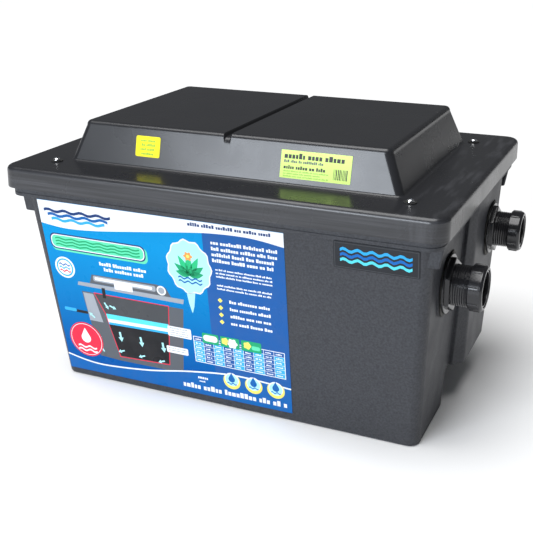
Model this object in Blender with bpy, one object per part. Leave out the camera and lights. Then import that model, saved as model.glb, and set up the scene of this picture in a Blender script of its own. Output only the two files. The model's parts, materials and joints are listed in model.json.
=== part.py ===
"""Flow-through box pond filter with a UV unit under its lid.

Metres, +Z up. X runs along the long side, with the hose connectors on the +X end.
The front face looks along -Y. The origin is the middle of the tank's underside.
"""
import math

import bmesh
import bpy
from mathutils import Matrix, Vector

GAP = 0.0003                      # clearance between touching pieces
OVERRUN = 0.02                    # how far a cutter reaches past the wall it cuts

# Tank: drafted walls, folded-over rim
TANK_HALF_BASE = (0.3035, 0.1795)
TANK_HALF_RIM = (0.3209, 0.2195)  # outer wall at RIM_UNDERSIDE
RIM_UNDERSIDE = 0.323
RIM_TOP = 0.3653
RIM_HALF = (0.336, 0.2393)
RIM_SKIN = 0.004
TANK_WALL = 0.0045
TANK_CORNER = 0.016
RIM_CORNER = 0.022

# Raised box on the right end wall, and the step under it
STEP_Z = 0.064
STEP_FRONT_Y = -0.042
STEP_INNER_X = 0.250
BOX_FACE_X = (0.328, 0.335)       # at the step, at the rim
BOX_FRONT_Y = (-0.009, -0.017)
BOX_BACK_Y = (0.118, 0.152)
BOX_LEDGE_Y = (-0.025, -0.034)
BOX_LEDGE_OUT = 0.006
LUG_SIZE = (0.013, 0.006, 0.031)
LUG_Y = 0.2105

# Lid cover: skirt, flange and dome
SKIRT_HALF_LOW = (0.3427, 0.2463)
SKIRT_HALF_TOP = (0.3426, 0.2452)
SKIRT_BOTTOM = 0.3365
FLANGE_Z = 0.3697
LID_CORNER = 0.024
LID_SKIN = 0.0035
DOME_HALF_BASE = (0.2648, 0.1743)
DOME_HALF_TOP = (0.240, 0.1593)
DOME_TOP = 0.4303
DOME_CORNER = 0.011
GROOVE_HALF_WIDTH = 0.0055
GROOVE_DEPTH = 0.0055
SCREW_X = 0.279
SCREW_FRONT_Y = -0.189
SCREW_BACK_Y = 0.176

# UV tray and what it carries
TRAY_HALF = (0.300, 0.206)
TRAY_SKIN = 0.003
TRAY_TOP = FLANGE_Z - LID_SKIN - GAP
PAN_FLOOR = 0.322
PAN_X = (-0.264, 0.284)
PAN_Y = (-0.062, 0.112)
SLEEVE_AXIS = (0.020, 0.382)      # y, z
SLEEVE_RADIUS = 0.0145
SLEEVE_X = (-0.215, 0.190)
RISER_XY = (0.247, 0.0825)
RISER_RADIUS = 0.025
SPOUT_XY = (-0.214, 0.020)
SPOUT_RADIUS = 0.028

# Filter chamber
CONTAINER_LEFT = (-0.276, -0.284)  # at its floor, at its top
CONTAINER_RIGHT = 0.203
CONTAINER_HALF_Y = (0.160, 0.190)
CONTAINER_TOP = 0.292
CONTAINER_FLOOR = 0.030
CONTAINER_SKIN = 0.003
CONTAINER_CORNER = 0.003

# Hose connectors: centre (y, z), seat plane x, and the radii
OUTLET = dict(centre=(-0.1175, 0.2365), seat=0.3175, thread=0.0296, nut=0.0336, flange=0.0432,
              hexagon=0.0405, tail=0.0232, nut_length=0.0200)
INLET = dict(centre=(0.0825, 0.2590), seat=0.3333, thread=0.0272, nut=0.0315, flange=0.0393,
             hexagon=0.0370, tail=0.0200, nut_length=0.0185)
LOBE_REACH = 0.0055               # how far the gasket's lobes stand past the flange ring
LOBE_RADIUS = 0.0185
WALL_AT_SEAT = 0.0075             # back nut seats this far inside the seat plane
NUT_GRIPS = 8
NUT_RIB_HEIGHT = 0.0012
NUT_RIB_WIDTH = 0.0042
GRIP_START = 28.0                # degrees, first rib from the nut's lowest point
GASKET_TURN = 232.0              # degrees, where the lower lobe points

# Labels
LABEL_SKIN = 0.0005
BADGE_SKIN = 0.0010

CORNER_STEPS = 4
ROUND_STEPS = 32


def clear_scene():
    for item in list(bpy.data.objects):
        bpy.data.objects.remove(item, do_unlink=True)


def plastic(name, colour, roughness, metallic=0.0):
    material = bpy.data.materials.new(name)
    material.use_nodes = True
    shader = material.node_tree.nodes["Principled BSDF"]
    shader.inputs["Base Color"].default_value = (*colour, 1.0)
    shader.inputs["Roughness"].default_value = roughness
    shader.inputs["Metallic"].default_value = metallic
    return material


def make_materials():
    return dict(
        tank=plastic("tank_plastic", (0.055, 0.055, 0.060), 0.62),
        lid=plastic("lid_plastic", (0.050, 0.052, 0.060), 0.28),
        fitting=plastic("fitting_plastic", (0.022, 0.022, 0.025), 0.35),
        inner=plastic("inner_plastic", (0.10, 0.10, 0.11), 0.50),
        rubber=plastic("seal_rubber", (0.16, 0.155, 0.15), 0.75),
        black_rubber=plastic("o_ring_rubber", (0.02, 0.02, 0.02), 0.60),
        chrome=plastic("chrome", (0.75, 0.76, 0.78), 0.12, 1.0),
        steel=plastic("zinc_steel", (0.55, 0.56, 0.58), 0.35, 1.0),
        washer=plastic("washer_dark", (0.03, 0.03, 0.03), 0.45),
        quartz=plastic("quartz_glass", (0.85, 0.90, 0.92), 0.05),
        lamp=plastic("lamp_glass", (0.90, 0.92, 0.95), 0.10),
        white=plastic("holder_white", (0.75, 0.76, 0.77), 0.40),
        foam_blue=plastic("foam_blue", (0.03, 0.12, 0.35), 0.95),
        foam_cream=plastic("foam_cream", (0.72, 0.70, 0.60), 0.95),
        foam_teal=plastic("foam_teal", (0.05, 0.36, 0.36), 0.95),
        net=plastic("media_net", (0.05, 0.05, 0.05), 0.90),
        label=plastic("label_print", (0.05, 0.30, 0.65), 0.35),
        badge=plastic("badge_print", (0.06, 0.08, 0.12), 0.30),
        yellow=plastic("sticker_yellow", (0.85, 0.70, 0.10), 0.40),
        lime=plastic("sticker_lime", (0.55, 0.70, 0.20), 0.40),
    )


def link(name, mesh, material=None, smooth=True):
    item = bpy.data.objects.new(name, mesh)
    bpy.context.scene.collection.objects.link(item)
    if material is not None:
        mesh.materials.append(material)
    if smooth:
        mesh.shade_smooth()
        mesh.set_sharp_from_angle(angle=math.radians(35))
    return item


def loft(name, loops, material=None):
    """Closed skin through equal-sized point loops, capped at its first and last loop."""
    bm = bmesh.new()
    rings = [[bm.verts.new(point) for point in loop] for loop in loops]
    for low, high in zip(rings, rings[1:]):
        for i in range(len(low)):
            j = (i + 1) % len(low)
            bm.faces.new((low[i], low[j], high[j], high[i]))
    bm.faces.new(reversed(rings[0]))
    bm.faces.new(rings[-1])
    bmesh.ops.recalc_face_normals(bm, faces=bm.faces)
    mesh = bpy.data.meshes.new(name)
    bm.to_mesh(mesh)
    bm.free()
    return link(name, mesh, material)


def rounded_outline(x_range, y_range, radius, steps=CORNER_STEPS):
    """Counter-clockwise rounded rectangle in plan."""
    points = []
    corners = ((1, 1, 0), (0, 1, 90), (0, 0, 180), (1, 0, 270))
    for ix, iy, start in corners:
        cx = x_range[ix] + (radius if ix == 0 else -radius)
        cy = y_range[iy] + (radius if iy == 0 else -radius)
        for step in range(steps + 1):
            angle = math.radians(start + 90 * step / steps)
            points.append((cx + radius * math.cos(angle), cy + radius * math.sin(angle)))
    return points


def plan_loop(half, radius, z, steps=CORNER_STEPS):
    outline = rounded_outline((-half[0], half[0]), (-half[1], half[1]), radius, steps)
    return [(x, y, z) for x, y in outline]


def box_loop(x_range, y_range, radius, z, steps=CORNER_STEPS):
    return [(x, y, z) for x, y in rounded_outline(x_range, y_range, radius, steps)]


def turned(name, profile, place, material=None, steps=ROUND_STEPS):
    """Solid of revolution: profile is a closed (radius, height) outline off the axis."""
    bm = bmesh.new()
    rings = []
    for radius, height in profile:
        ring = []
        for step in range(steps):
            angle = 2 * math.pi * step / steps
            ring.append(bm.verts.new((radius * math.cos(angle), radius * math.sin(angle), height)))
        rings.append(ring)
    for k, low in enumerate(rings):
        high = rings[(k + 1) % len(rings)]
        for i in range(steps):
            j = (i + 1) % steps
            bm.faces.new((low[i], low[j], high[j], high[i]))
    bmesh.ops.recalc_face_normals(bm, faces=bm.faces)
    mesh = bpy.data.meshes.new(name)
    bm.to_mesh(mesh)
    bm.free()
    item = link(name, mesh, material)
    item.matrix_world = place
    return item


def rod(name, stations, place, material=None, steps=ROUND_STEPS):
    """Solid round bar: stations are (radius, height) from one end to the other."""
    loops = []
    for radius, height in stations:
        ring = [2 * math.pi * step / steps for step in range(steps)]
        loops.append([(radius * math.cos(a), radius * math.sin(a), height) for a in ring])
    item = loft(name, loops, material)
    item.matrix_world = place
    return item


def bar(name, x_range, y_range, z_range, material=None):
    loops = []
    for z in z_range:
        loops.append([(x_range[0], y_range[0], z), (x_range[1], y_range[0], z),
                      (x_range[1], y_range[1], z), (x_range[0], y_range[1], z)])
    return loft(name, loops, material)


def along_x(x, y, z):
    """Places a piece so its local Z lies along +X."""
    return Matrix.Translation((x, y, z)) @ Matrix.Rotation(math.radians(90), 4, "Y")


def upright(x, y, z):
    return Matrix.Translation((x, y, z))


def combine(target, tool, operation="DIFFERENCE"):
    modifier = target.modifiers.new(operation.lower(), "BOOLEAN")
    modifier.operation = operation
    modifier.solver = "EXACT"
    modifier.object = tool
    tool.hide_render = True
    tool.display_type = "WIRE"


def mix(pair, t):
    return pair[0] + (pair[1] - pair[0]) * t


def wall_half(z):
    """Outer half-sizes of the drafted tank wall at a height."""
    t = z / RIM_UNDERSIDE
    return tuple(mix((low, high), t) for low, high in zip(TANK_HALF_BASE, TANK_HALF_RIM))


def dome_half(z):
    """Outer half-sizes of the dome at a height."""
    t = (z - FLANGE_Z) / (DOME_TOP - FLANGE_Z)
    return tuple(mix((low, high), t) for low, high in zip(DOME_HALF_BASE, DOME_HALF_TOP))


def shrink(half, amount):
    return (half[0] - amount, half[1] - amount)


def raised_box(name, inset, z_low, z_high):
    """Box on the end wall: a small ledge, a slanted front side and a flat face."""
    loops = []
    for z in (z_low, z_high):
        t = (z - STEP_Z) / (RIM_UNDERSIDE - STEP_Z)
        wall_x = wall_half(z)[0]
        face_x = mix(BOX_FACE_X, t) - inset
        ledge_y = mix(BOX_LEDGE_Y, t) + inset
        front_y = mix(BOX_FRONT_Y, t) + inset
        back_y = mix(BOX_BACK_Y, t) - inset
        root_x = STEP_INNER_X + 0.030
        corner = 0.004
        loops.append([
            (root_x, ledge_y, z), (wall_x + BOX_LEDGE_OUT - inset, ledge_y, z),
            (face_x - corner, front_y - corner, z), (face_x, front_y + corner, z),
            (face_x, back_y - corner, z), (face_x - corner, back_y, z), (root_x, back_y, z)])
    return loft(name, loops)


def lug(name, side_x, side_y):
    """Gusset hanging from the rim on an end wall."""
    depth, width, height = LUG_SIZE
    outer = RIM_HALF[0] - 0.0015
    loops = []
    for z, out in ((RIM_UNDERSIDE - height, outer - 0.006), (RIM_UNDERSIDE + 0.012, outer)):
        xs = sorted((side_x * (outer - depth - 0.006), side_x * out))
        ys = sorted((side_y * (LUG_Y - width / 2), side_y * (LUG_Y + width / 2)))
        loops.append([(xs[0], ys[0], z), (xs[1], ys[0], z), (xs[1], ys[1], z), (xs[0], ys[1], z)])
    return loft(name, loops)


def connector_seat(tank, name, spec):
    """Flat spot on the drafted wall with the hole for the connector's tail."""
    y, z = spec["centre"]
    radius = spec["flange"] + LOBE_REACH + GAP
    pad = rod(name + "_pad", ((radius, -0.008), (radius, 0.0)), along_x(spec["seat"], y, z))
    combine(tank, pad, "UNION")
    face = rod(name + "_face", ((radius, 0.0), (radius, OVERRUN)), along_x(spec["seat"], y, z))
    combine(tank, face)
    hole = spec["tail"] + 0.004 + GAP
    bore = rod(name + "_bore", ((hole, -0.05), (hole, OVERRUN)), along_x(spec["seat"], y, z))
    combine(tank, bore)
    back = rod(name + "_back", ((radius, -0.05), (radius, -WALL_AT_SEAT)), along_x(spec["seat"], y, z))
    combine(tank, back)


def make_tank(materials):
    fold_top = RIM_TOP - RIM_SKIN
    rim_inside = shrink(RIM_HALF, RIM_SKIN)
    tank = loft("tank", [
        plan_loop(wall_half(0.0), TANK_CORNER, 0.0),
        plan_loop(wall_half(fold_top), TANK_CORNER, fold_top),
        plan_loop(rim_inside, RIM_CORNER - RIM_SKIN, fold_top),
        plan_loop(rim_inside, RIM_CORNER - RIM_SKIN, RIM_UNDERSIDE),
        plan_loop(RIM_HALF, RIM_CORNER, RIM_UNDERSIDE),
        plan_loop(RIM_HALF, RIM_CORNER, RIM_TOP),
    ], materials["tank"])
    combine(tank, raised_box("box_outside", 0.0, STEP_Z, fold_top + 0.001), "UNION")
    for side_x in (-1, 1):
        for side_y in (-1, 1):
            combine(tank, lug("lug_%d_%d" % (side_x, side_y), side_x, side_y), "UNION")
    step = bar("step_outside", (STEP_INNER_X, 0.40), (STEP_FRONT_Y, 0.30), (-OVERRUN, STEP_Z))
    combine(tank, step)
    inside = loft("inside", [
        plan_loop(shrink(wall_half(TANK_WALL), TANK_WALL), TANK_CORNER - TANK_WALL, TANK_WALL),
        plan_loop(shrink(wall_half(RIM_TOP + OVERRUN), TANK_WALL), TANK_CORNER - TANK_WALL,
                  RIM_TOP + OVERRUN),
    ])
    step_inside = bar("step_inside", (STEP_INNER_X - TANK_WALL, 0.40),
                      (STEP_FRONT_Y - TANK_WALL, 0.30), (-OVERRUN, STEP_Z + TANK_WALL))
    combine(inside, step_inside)
    combine(inside, raised_box("box_inside", TANK_WALL, STEP_Z + TANK_WALL, fold_top - 0.004), "UNION")
    combine(tank, inside)
    connector_seat(tank, "outlet", OUTLET)
    connector_seat(tank, "inlet", INLET)
    return tank


def make_lid(materials):
    """Outer skin, less the inner skin, with the groove formed in both."""
    edge = 0.0022
    lid = loft("lid_cover", [
        plan_loop(SKIRT_HALF_LOW, LID_CORNER, SKIRT_BOTTOM),
        plan_loop(SKIRT_HALF_TOP, LID_CORNER, FLANGE_Z - edge),
        plan_loop(shrink(SKIRT_HALF_TOP, edge), LID_CORNER - edge, FLANGE_Z),
        plan_loop(DOME_HALF_BASE, DOME_CORNER, FLANGE_Z),
        plan_loop(dome_half(DOME_TOP - 0.003), DOME_CORNER, DOME_TOP - 0.003),
        plan_loop(shrink(DOME_HALF_TOP, 0.002), DOME_CORNER - 0.002, DOME_TOP),
    ], materials["lid"])
    inside = loft("lid_inside", [
        plan_loop(shrink(SKIRT_HALF_LOW, LID_SKIN), LID_CORNER - LID_SKIN, SKIRT_BOTTOM - OVERRUN),
        plan_loop(shrink(SKIRT_HALF_TOP, LID_SKIN), LID_CORNER - LID_SKIN, FLANGE_Z - LID_SKIN),
        plan_loop(shrink(DOME_HALF_BASE, LID_SKIN), DOME_CORNER - LID_SKIN, FLANGE_Z - LID_SKIN),
        plan_loop(shrink(DOME_HALF_TOP, LID_SKIN), DOME_CORNER - LID_SKIN, DOME_TOP - LID_SKIN),
    ])
    groove_outside = groove("groove_outside", 0.0)
    groove_inside = groove("groove_inside", LID_SKIN)
    combine(inside, groove_inside)
    combine(lid, groove_outside)
    combine(lid, inside)
    for k, (x, y) in enumerate(screw_places()):
        hole = rod("lid_hole_%d" % (k + 1), ((0.0035, -OVERRUN), (0.0035, OVERRUN)),
                   upright(x, y, FLANGE_Z), steps=16)
        combine(lid, hole)
    gland_hole = rod("lid_gland_hole", ((0.0083, -OVERRUN), (0.0083, OVERRUN)), gland_place(), steps=24)
    combine(lid, gland_hole)
    return lid


def groove(name, margin):
    """Channel across the dome top, wider at its mouth."""
    loops = []
    for z, half in ((DOME_TOP - GROOVE_DEPTH - margin, GROOVE_HALF_WIDTH - 0.003 + margin),
                    (DOME_TOP + OVERRUN, GROOVE_HALF_WIDTH + 0.011 + margin)):
        loops.append([(-half, -0.2, z), (half, -0.2, z), (half, 0.2, z), (-half, 0.2, z)])
    return loft(name, loops)


def screw_places():
    return [(sx * SCREW_X, y) for y in (SCREW_FRONT_Y, SCREW_BACK_Y) for sx in (-1, 1)]


def make_lid_screws(materials):
    """Dome-headed screw, washer and nut at each corner of the flange."""
    washer_low = FLANGE_Z + GAP
    washer_high = washer_low + 0.0012
    head_low = washer_high + GAP
    nut_high = TRAY_TOP - TRAY_SKIN - GAP
    nut_low = nut_high - 0.005
    for k, (x, y) in enumerate(screw_places()):
        tag = str(k + 1)
        rod("lid_screw_" + tag, (
            (0.0026, nut_low - 0.003), (0.0029, nut_low - 0.002), (0.0029, head_low), (0.0055, head_low),
            (0.0055, head_low + 0.0012), (0.0043, head_low + 0.0028), (0.0022, head_low + 0.0036)),
            upright(x, y, 0.0), materials["chrome"], steps=16)
        turned("screw_washer_" + tag, (
            (0.0033, washer_low), (0.0090, washer_low), (0.0090, washer_high), (0.0033, washer_high)),
            upright(x, y, 0.0), materials["washer"], steps=20)
        nut = rod("screw_nut_" + tag, ((0.0058, nut_low), (0.0058, nut_high)),
                  upright(x, y, 0.0), materials["steel"], steps=6)
        bore = rod("screw_nut_bore_" + tag, ((0.0033, -0.01), (0.0033, 0.01)), upright(x, y, nut_low),
                   steps=16)
        combine(nut, bore)


def make_tray(materials):
    """Flat plate clamped under the dome, with the UV pan pressed into it."""
    low = TRAY_TOP - TRAY_SKIN
    tray = loft("uv_tray", [
        plan_loop(TRAY_HALF, 0.02, low),
        plan_loop(TRAY_HALF, 0.02, TRAY_TOP),
    ], materials["inner"])
    pan = loft("pan_outside", [
        box_loop((PAN_X[0] + 0.006, PAN_X[1] - 0.006), (PAN_Y[0] + 0.006, PAN_Y[1] - 0.006), 0.012,
                 PAN_FLOOR),
        box_loop(PAN_X, PAN_Y, 0.016, low + 0.001),
    ])
    combine(tray, pan, "UNION")
    hollow_low = PAN_FLOOR + TRAY_SKIN
    hollow = loft("pan_inside", [
        box_loop((PAN_X[0] + 0.009, PAN_X[1] - 0.009), (PAN_Y[0] + 0.009, PAN_Y[1] - 0.009), 0.010,
                 hollow_low),
        box_loop((PAN_X[0] + 0.003, PAN_X[1] - 0.003), (PAN_Y[0] + 0.003, PAN_Y[1] - 0.003), 0.013, low),
        box_loop((PAN_X[0] + 0.003, PAN_X[1] - 0.003), (PAN_Y[0] + 0.003, PAN_Y[1] - 0.003), 0.013,
                 TRAY_TOP + OVERRUN),
    ])
    combine(tray, hollow)
    for name, (x, y), radius in (("riser_hole", RISER_XY, RISER_RADIUS + 0.0045),
                                 ("spout_hole", SPOUT_XY, SPOUT_RADIUS + 0.0055)):
        hole = rod(name, ((radius, -OVERRUN), (radius, OVERRUN)), upright(x, y, PAN_FLOOR))
        combine(tray, hole)
    for k, (x, y) in enumerate(screw_places()):
        hole = rod("tray_hole_%d" % (k + 1), ((0.0035, -0.01), (0.0035, 0.01)), upright(x, y, TRAY_TOP),
                   steps=16)
        combine(tray, hole)
    return tray


def make_uv_unit(materials):
    """Quartz sleeve with the lamp inside it, its holder, clip, bracket and seal."""
    y, z = SLEEVE_AXIS
    start, end = SLEEVE_X
    skin = 0.0015
    place = along_x(0.0, y, z)
    sleeve = rod("quartz_sleeve", (
        (0.004, start), (SLEEVE_RADIUS * 0.7, start + 0.0025), (SLEEVE_RADIUS, start + 0.008),
        (SLEEVE_RADIUS, end)), place, materials["quartz"], steps=24)
    hollow = rod("sleeve_hollow", (
        (0.004, start + 0.004), (SLEEVE_RADIUS - skin, start + 0.010),
        (SLEEVE_RADIUS - skin, end + OVERRUN)), place, steps=24)
    combine(sleeve, hollow)
    rod("uv_lamp", ((0.006, start + 0.020), (0.0079, start + 0.023), (0.0079, end - 0.002),
                    (0.0079, end + 0.006)),
        place, materials["lamp"], steps=20)
    holder_radius = SLEEVE_RADIUS + 0.007
    holder = rod("lamp_holder", ((holder_radius, end - 0.018), (holder_radius, end + 0.020),
                                 (0.014, end + 0.034)),
                 place, materials["white"], steps=24)
    socket_radius = SLEEVE_RADIUS + 0.0028
    socket = rod("holder_socket", ((socket_radius, end - 0.04), (socket_radius, end + GAP + 0.007)),
                 place, steps=24)
    combine(holder, socket)
    o_ring("sleeve_o_ring", SLEEVE_RADIUS + GAP, 0.0011, along_x(end - 0.012, y, z),
           materials["black_rubber"])
    floor = PAN_FLOOR + TRAY_SKIN + GAP
    clip = bar("sleeve_clip", (-0.158, -0.142), (y - 0.024, y + 0.024), (floor, z - 0.002),
               materials["white"])
    cradle = rod("clip_cradle", ((SLEEVE_RADIUS + GAP, -0.20), (SLEEVE_RADIUS + GAP, -0.10)), place, steps=24)
    combine(clip, cradle)
    bracket = bar("lamp_bracket", (end - 0.006, end + 0.002), (y - 0.034, y + 0.034), (floor, z - 0.006),
                  materials["inner"])
    saddle = rod("bracket_saddle", ((holder_radius + GAP, 0.15), (holder_radius + GAP, 0.25)), place,
                 steps=24)
    combine(bracket, saddle)


def o_ring(name, inner_radius, thickness, place, material, sides=6):
    centre = inner_radius + thickness
    profile = []
    for step in range(sides):
        angle = 2 * math.pi * (step + 0.5) / sides
        profile.append((centre + thickness * math.cos(angle), thickness * math.sin(angle)))
    return turned(name, profile, place, material, steps=24)


def make_ballast(materials):
    """Sealed box for the lamp electronics, standing on the tray plate inside the dome."""
    low = TRAY_TOP + GAP
    loft("ballast_box", [
        box_loop((-0.190, -0.030), (-0.150, -0.080), 0.005, low, 2),
        box_loop((-0.190, -0.030), (-0.150, -0.080), 0.005, low + 0.034, 2),
        box_loop((-0.187, -0.033), (-0.147, -0.083), 0.004, low + 0.038, 2),
    ], materials["fitting"])


def end_wall_slope():
    return math.atan2(DOME_HALF_BASE[0] - DOME_HALF_TOP[0], DOME_TOP - FLANGE_Z)


def gland_place():
    """On the left wall of the dome, square to its slope."""
    z = FLANGE_Z + 0.028
    turn = Matrix.Rotation(end_wall_slope() - math.radians(90), 4, "Y")
    return Matrix.Translation((-dome_half(z)[0], -0.095, z)) @ turn


def make_gland(materials):
    """Cable gland through the dome wall: body, lock nut inside, clamping nut outside."""
    place = gland_place()
    turned("gland_body", (
        (0.0045, -0.012), (0.0080, -0.012), (0.0080, GAP), (0.0115, GAP), (0.0115, 0.005),
        (0.0080, 0.005), (0.0080, 0.012), (0.0045, 0.012)), place, materials["fitting"], steps=24)
    slope = end_wall_slope()
    inside = -LID_SKIN * (math.cos(slope) + math.sin(slope)) - GAP
    lock = rod("gland_locknut", ((0.0118, inside - 0.004), (0.0118, inside)), place, materials["fitting"],
               steps=6)
    lock_bore = rod("locknut_bore", ((0.0080 + GAP, -0.03), (0.0080 + GAP, 0.01)), place, steps=24)
    combine(lock, lock_bore)
    turned("gland_nut", (
        (0.0080 + GAP, 0.005 + GAP), (0.0115, 0.005 + GAP), (0.0115, 0.012), (0.0085, 0.0165),
        (0.0045, 0.0165), (0.0045, 0.012 + GAP), (0.0080 + GAP, 0.012 + GAP)), place,
        materials["fitting"], steps=24)


def make_pipes(materials):
    """Riser from the inlet to the tray, its seal, and the spout over the spray plate."""
    x, y = RISER_XY
    inlet_y, inlet_z = INLET["centre"]
    top = PAN_FLOOR + TRAY_SKIN + 0.006
    base = inlet_z - 0.033
    riser = rod("inlet_riser", ((RISER_RADIUS, base), (RISER_RADIUS, top)), upright(x, y, 0.0),
                materials["inner"])
    bore = RISER_RADIUS - 0.003
    hollow = rod("riser_hollow", ((bore, base + 0.004), (bore, top + OVERRUN)), upright(x, y, 0.0))
    arm_start = INLET["seat"] - 0.040
    arm = rod("riser_arm", ((INLET["tail"] - 0.0020, -0.040), (INLET["tail"] - 0.0020, 0.0)),
              along_x(arm_start, inlet_y, inlet_z))
    arm_hollow = rod("riser_arm_hollow", ((INLET["tail"] - 0.0045, -0.036), (INLET["tail"] - 0.0045, 0.01)),
                     along_x(arm_start, inlet_y, inlet_z))
    combine(riser, arm, "UNION")
    combine(riser, hollow)
    combine(riser, arm_hollow)
    seal_low = PAN_FLOOR - 0.003
    turned("riser_seal", (
        (RISER_RADIUS + GAP, seal_low), (RISER_RADIUS + 0.010, seal_low),
        (RISER_RADIUS + 0.010, PAN_FLOOR - GAP),
        (RISER_RADIUS + 0.0042, PAN_FLOOR - GAP), (RISER_RADIUS + 0.0042, PAN_FLOOR + TRAY_SKIN + 0.001),
        (RISER_RADIUS + GAP, PAN_FLOOR + TRAY_SKIN + 0.001)), upright(x, y, 0.0), materials["rubber"])
    sx, sy = SPOUT_XY
    collar = PAN_FLOOR + TRAY_SKIN + GAP
    turned("downspout", (
        (SPOUT_RADIUS - 0.003, 0.300), (SPOUT_RADIUS, 0.300), (SPOUT_RADIUS, collar),
        (SPOUT_RADIUS + 0.010, collar), (SPOUT_RADIUS + 0.010, collar + 0.003),
        (SPOUT_RADIUS - 0.003, collar + 0.003)),
        upright(sx, sy, 0.0), materials["inner"])


def chamber_loop(z, inset, radius=CONTAINER_CORNER):
    """Plan of the drafted inner container at a height."""
    t = (z - CONTAINER_FLOOR) / (CONTAINER_TOP - CONTAINER_FLOOR)
    left = mix(CONTAINER_LEFT, t) + inset
    half_y = mix(CONTAINER_HALF_Y, t) - inset
    return box_loop((left, CONTAINER_RIGHT - inset), (-half_y, half_y), radius, z, 3)


def make_container(materials):
    """Drafted inner container with an open floor that carries the support grid."""
    ledge = 0.014
    container = loft("inner_container", [
        chamber_loop(CONTAINER_FLOOR, 0.0),
        chamber_loop(CONTAINER_TOP, 0.0),
    ], materials["inner"])
    hollow = loft("container_hollow", [
        chamber_loop(CONTAINER_FLOOR + CONTAINER_SKIN, CONTAINER_SKIN),
        chamber_loop(CONTAINER_TOP + OVERRUN, CONTAINER_SKIN),
    ])
    for k, (x, y) in enumerate(((-0.24, -0.12), (-0.24, 0.12), (0.16, -0.12), (0.16, 0.12))):
        foot = bar("foot_%d" % (k + 1), (x - 0.012, x + 0.012), (y - 0.012, y + 0.012),
                   (TANK_WALL + GAP, CONTAINER_FLOOR + 0.001))
        combine(container, foot, "UNION")
    opening = loft("container_opening", [
        chamber_loop(CONTAINER_FLOOR, ledge + 0.030),
        chamber_loop(CONTAINER_FLOOR + 0.02, ledge + 0.030),
    ])
    opening.location.z = -0.01
    combine(container, hollow)
    combine(container, opening)


def slotted_plate(name, z_low, thickness, inset, columns, rows, slot, material):
    """Flat plate with a regular pattern of through slots."""
    plate = loft(name, [chamber_loop(z_low, inset), chamber_loop(z_low + thickness, inset)], material)
    xs = (CONTAINER_LEFT[0] + 0.05, CONTAINER_RIGHT - 0.05)
    half_y = CONTAINER_HALF_Y[0] - 0.04
    cutter = None
    for i in range(columns):
        for j in range(rows):
            x = mix(xs, i / (columns - 1))
            y = mix((-half_y, half_y), j / (rows - 1))
            hole = bar("%s_slot_%d_%d" % (name, i, j), (x - slot[0] / 2, x + slot[0] / 2),
                       (y - slot[1] / 2, y + slot[1] / 2), (z_low - 0.01, z_low + thickness + 0.01))
            if cutter is None:
                cutter = hole
            else:
                join_mesh(cutter, hole)
    combine(plate, cutter)
    return plate


def join_mesh(target, extra):
    """Adds another closed piece to a cutter that already holds pieces clear of it."""
    bm = bmesh.new()
    bm.from_mesh(target.data)
    bm.from_mesh(extra.data)
    bm.to_mesh(target.data)
    bm.free()
    bpy.data.objects.remove(extra, do_unlink=True)


def make_media(materials):
    """Support grid, two net bags, three foam sheets, the spray plate and the baffle."""
    floor = CONTAINER_FLOOR + CONTAINER_SKIN + GAP
    slotted_plate("media_support_grid", floor, 0.005, CONTAINER_SKIN + 0.001, 7, 4, (0.040, 0.012),
                  materials["inner"])
    bag_low = floor + 0.005 + 0.001
    bag_high = bag_low + 0.092
    middle = (CONTAINER_LEFT[0] + CONTAINER_RIGHT) / 2
    for name, xs in (("bio_media_bag_left", (CONTAINER_LEFT[0] + 0.010, middle - 0.004)),
                     ("bio_media_bag_right", (middle + 0.004, CONTAINER_RIGHT - 0.010))):
        half_y = CONTAINER_HALF_Y[0] - 0.010
        soft = 0.018
        loft(name, [
            box_loop((xs[0] + soft, xs[1] - soft), (-half_y + soft, half_y - soft), 0.03, bag_low, 3),
            box_loop(xs, (-half_y, half_y), 0.03, bag_low + soft, 3),
            box_loop(xs, (-half_y, half_y), 0.03, bag_high - soft, 3),
            box_loop((xs[0] + soft, xs[1] - soft), (-half_y + soft, half_y - soft), 0.03, bag_high, 3),
        ], materials["net"])
    level = bag_high + 0.001
    for name, thickness, key in (("foam_fine", 0.025, "foam_teal"), ("foam_medium", 0.032, "foam_cream"),
                                 ("foam_coarse", 0.038, "foam_blue")):
        inset = CONTAINER_SKIN + 0.003
        loft(name, [chamber_loop(level, inset), chamber_loop(level + thickness, inset)], materials[key])
        level += thickness + 0.0008
    slotted_plate("spray_plate", CONTAINER_TOP + GAP, 0.004, -0.002, 8, 5, (0.010, 0.010), materials["inner"])
    make_baffle(materials)


def make_baffle(materials):
    """Upright panel between the container and the outlet chamber, open at its foot."""
    x = (CONTAINER_RIGHT + 0.006, CONTAINER_RIGHT + 0.010)
    z_low = STEP_Z - 0.020
    z_high = CONTAINER_TOP + 0.010
    loops = []
    for px in x:
        low = shrink(wall_half(z_low), TANK_WALL + 0.001)[1]
        high = shrink(wall_half(z_high), TANK_WALL + 0.001)[1]
        loops.append([(px, -low, z_low), (px, low, z_low), (px, high, z_high), (px, -high, z_high)])
    loft("baffle_panel", loops, materials["inner"])


def hexagon(name, radius, height_range, place, material):
    """Hexagonal collar with corners up and down."""
    return rod(name, [(radius, h) for h in height_range], place, material, steps=6)


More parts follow.
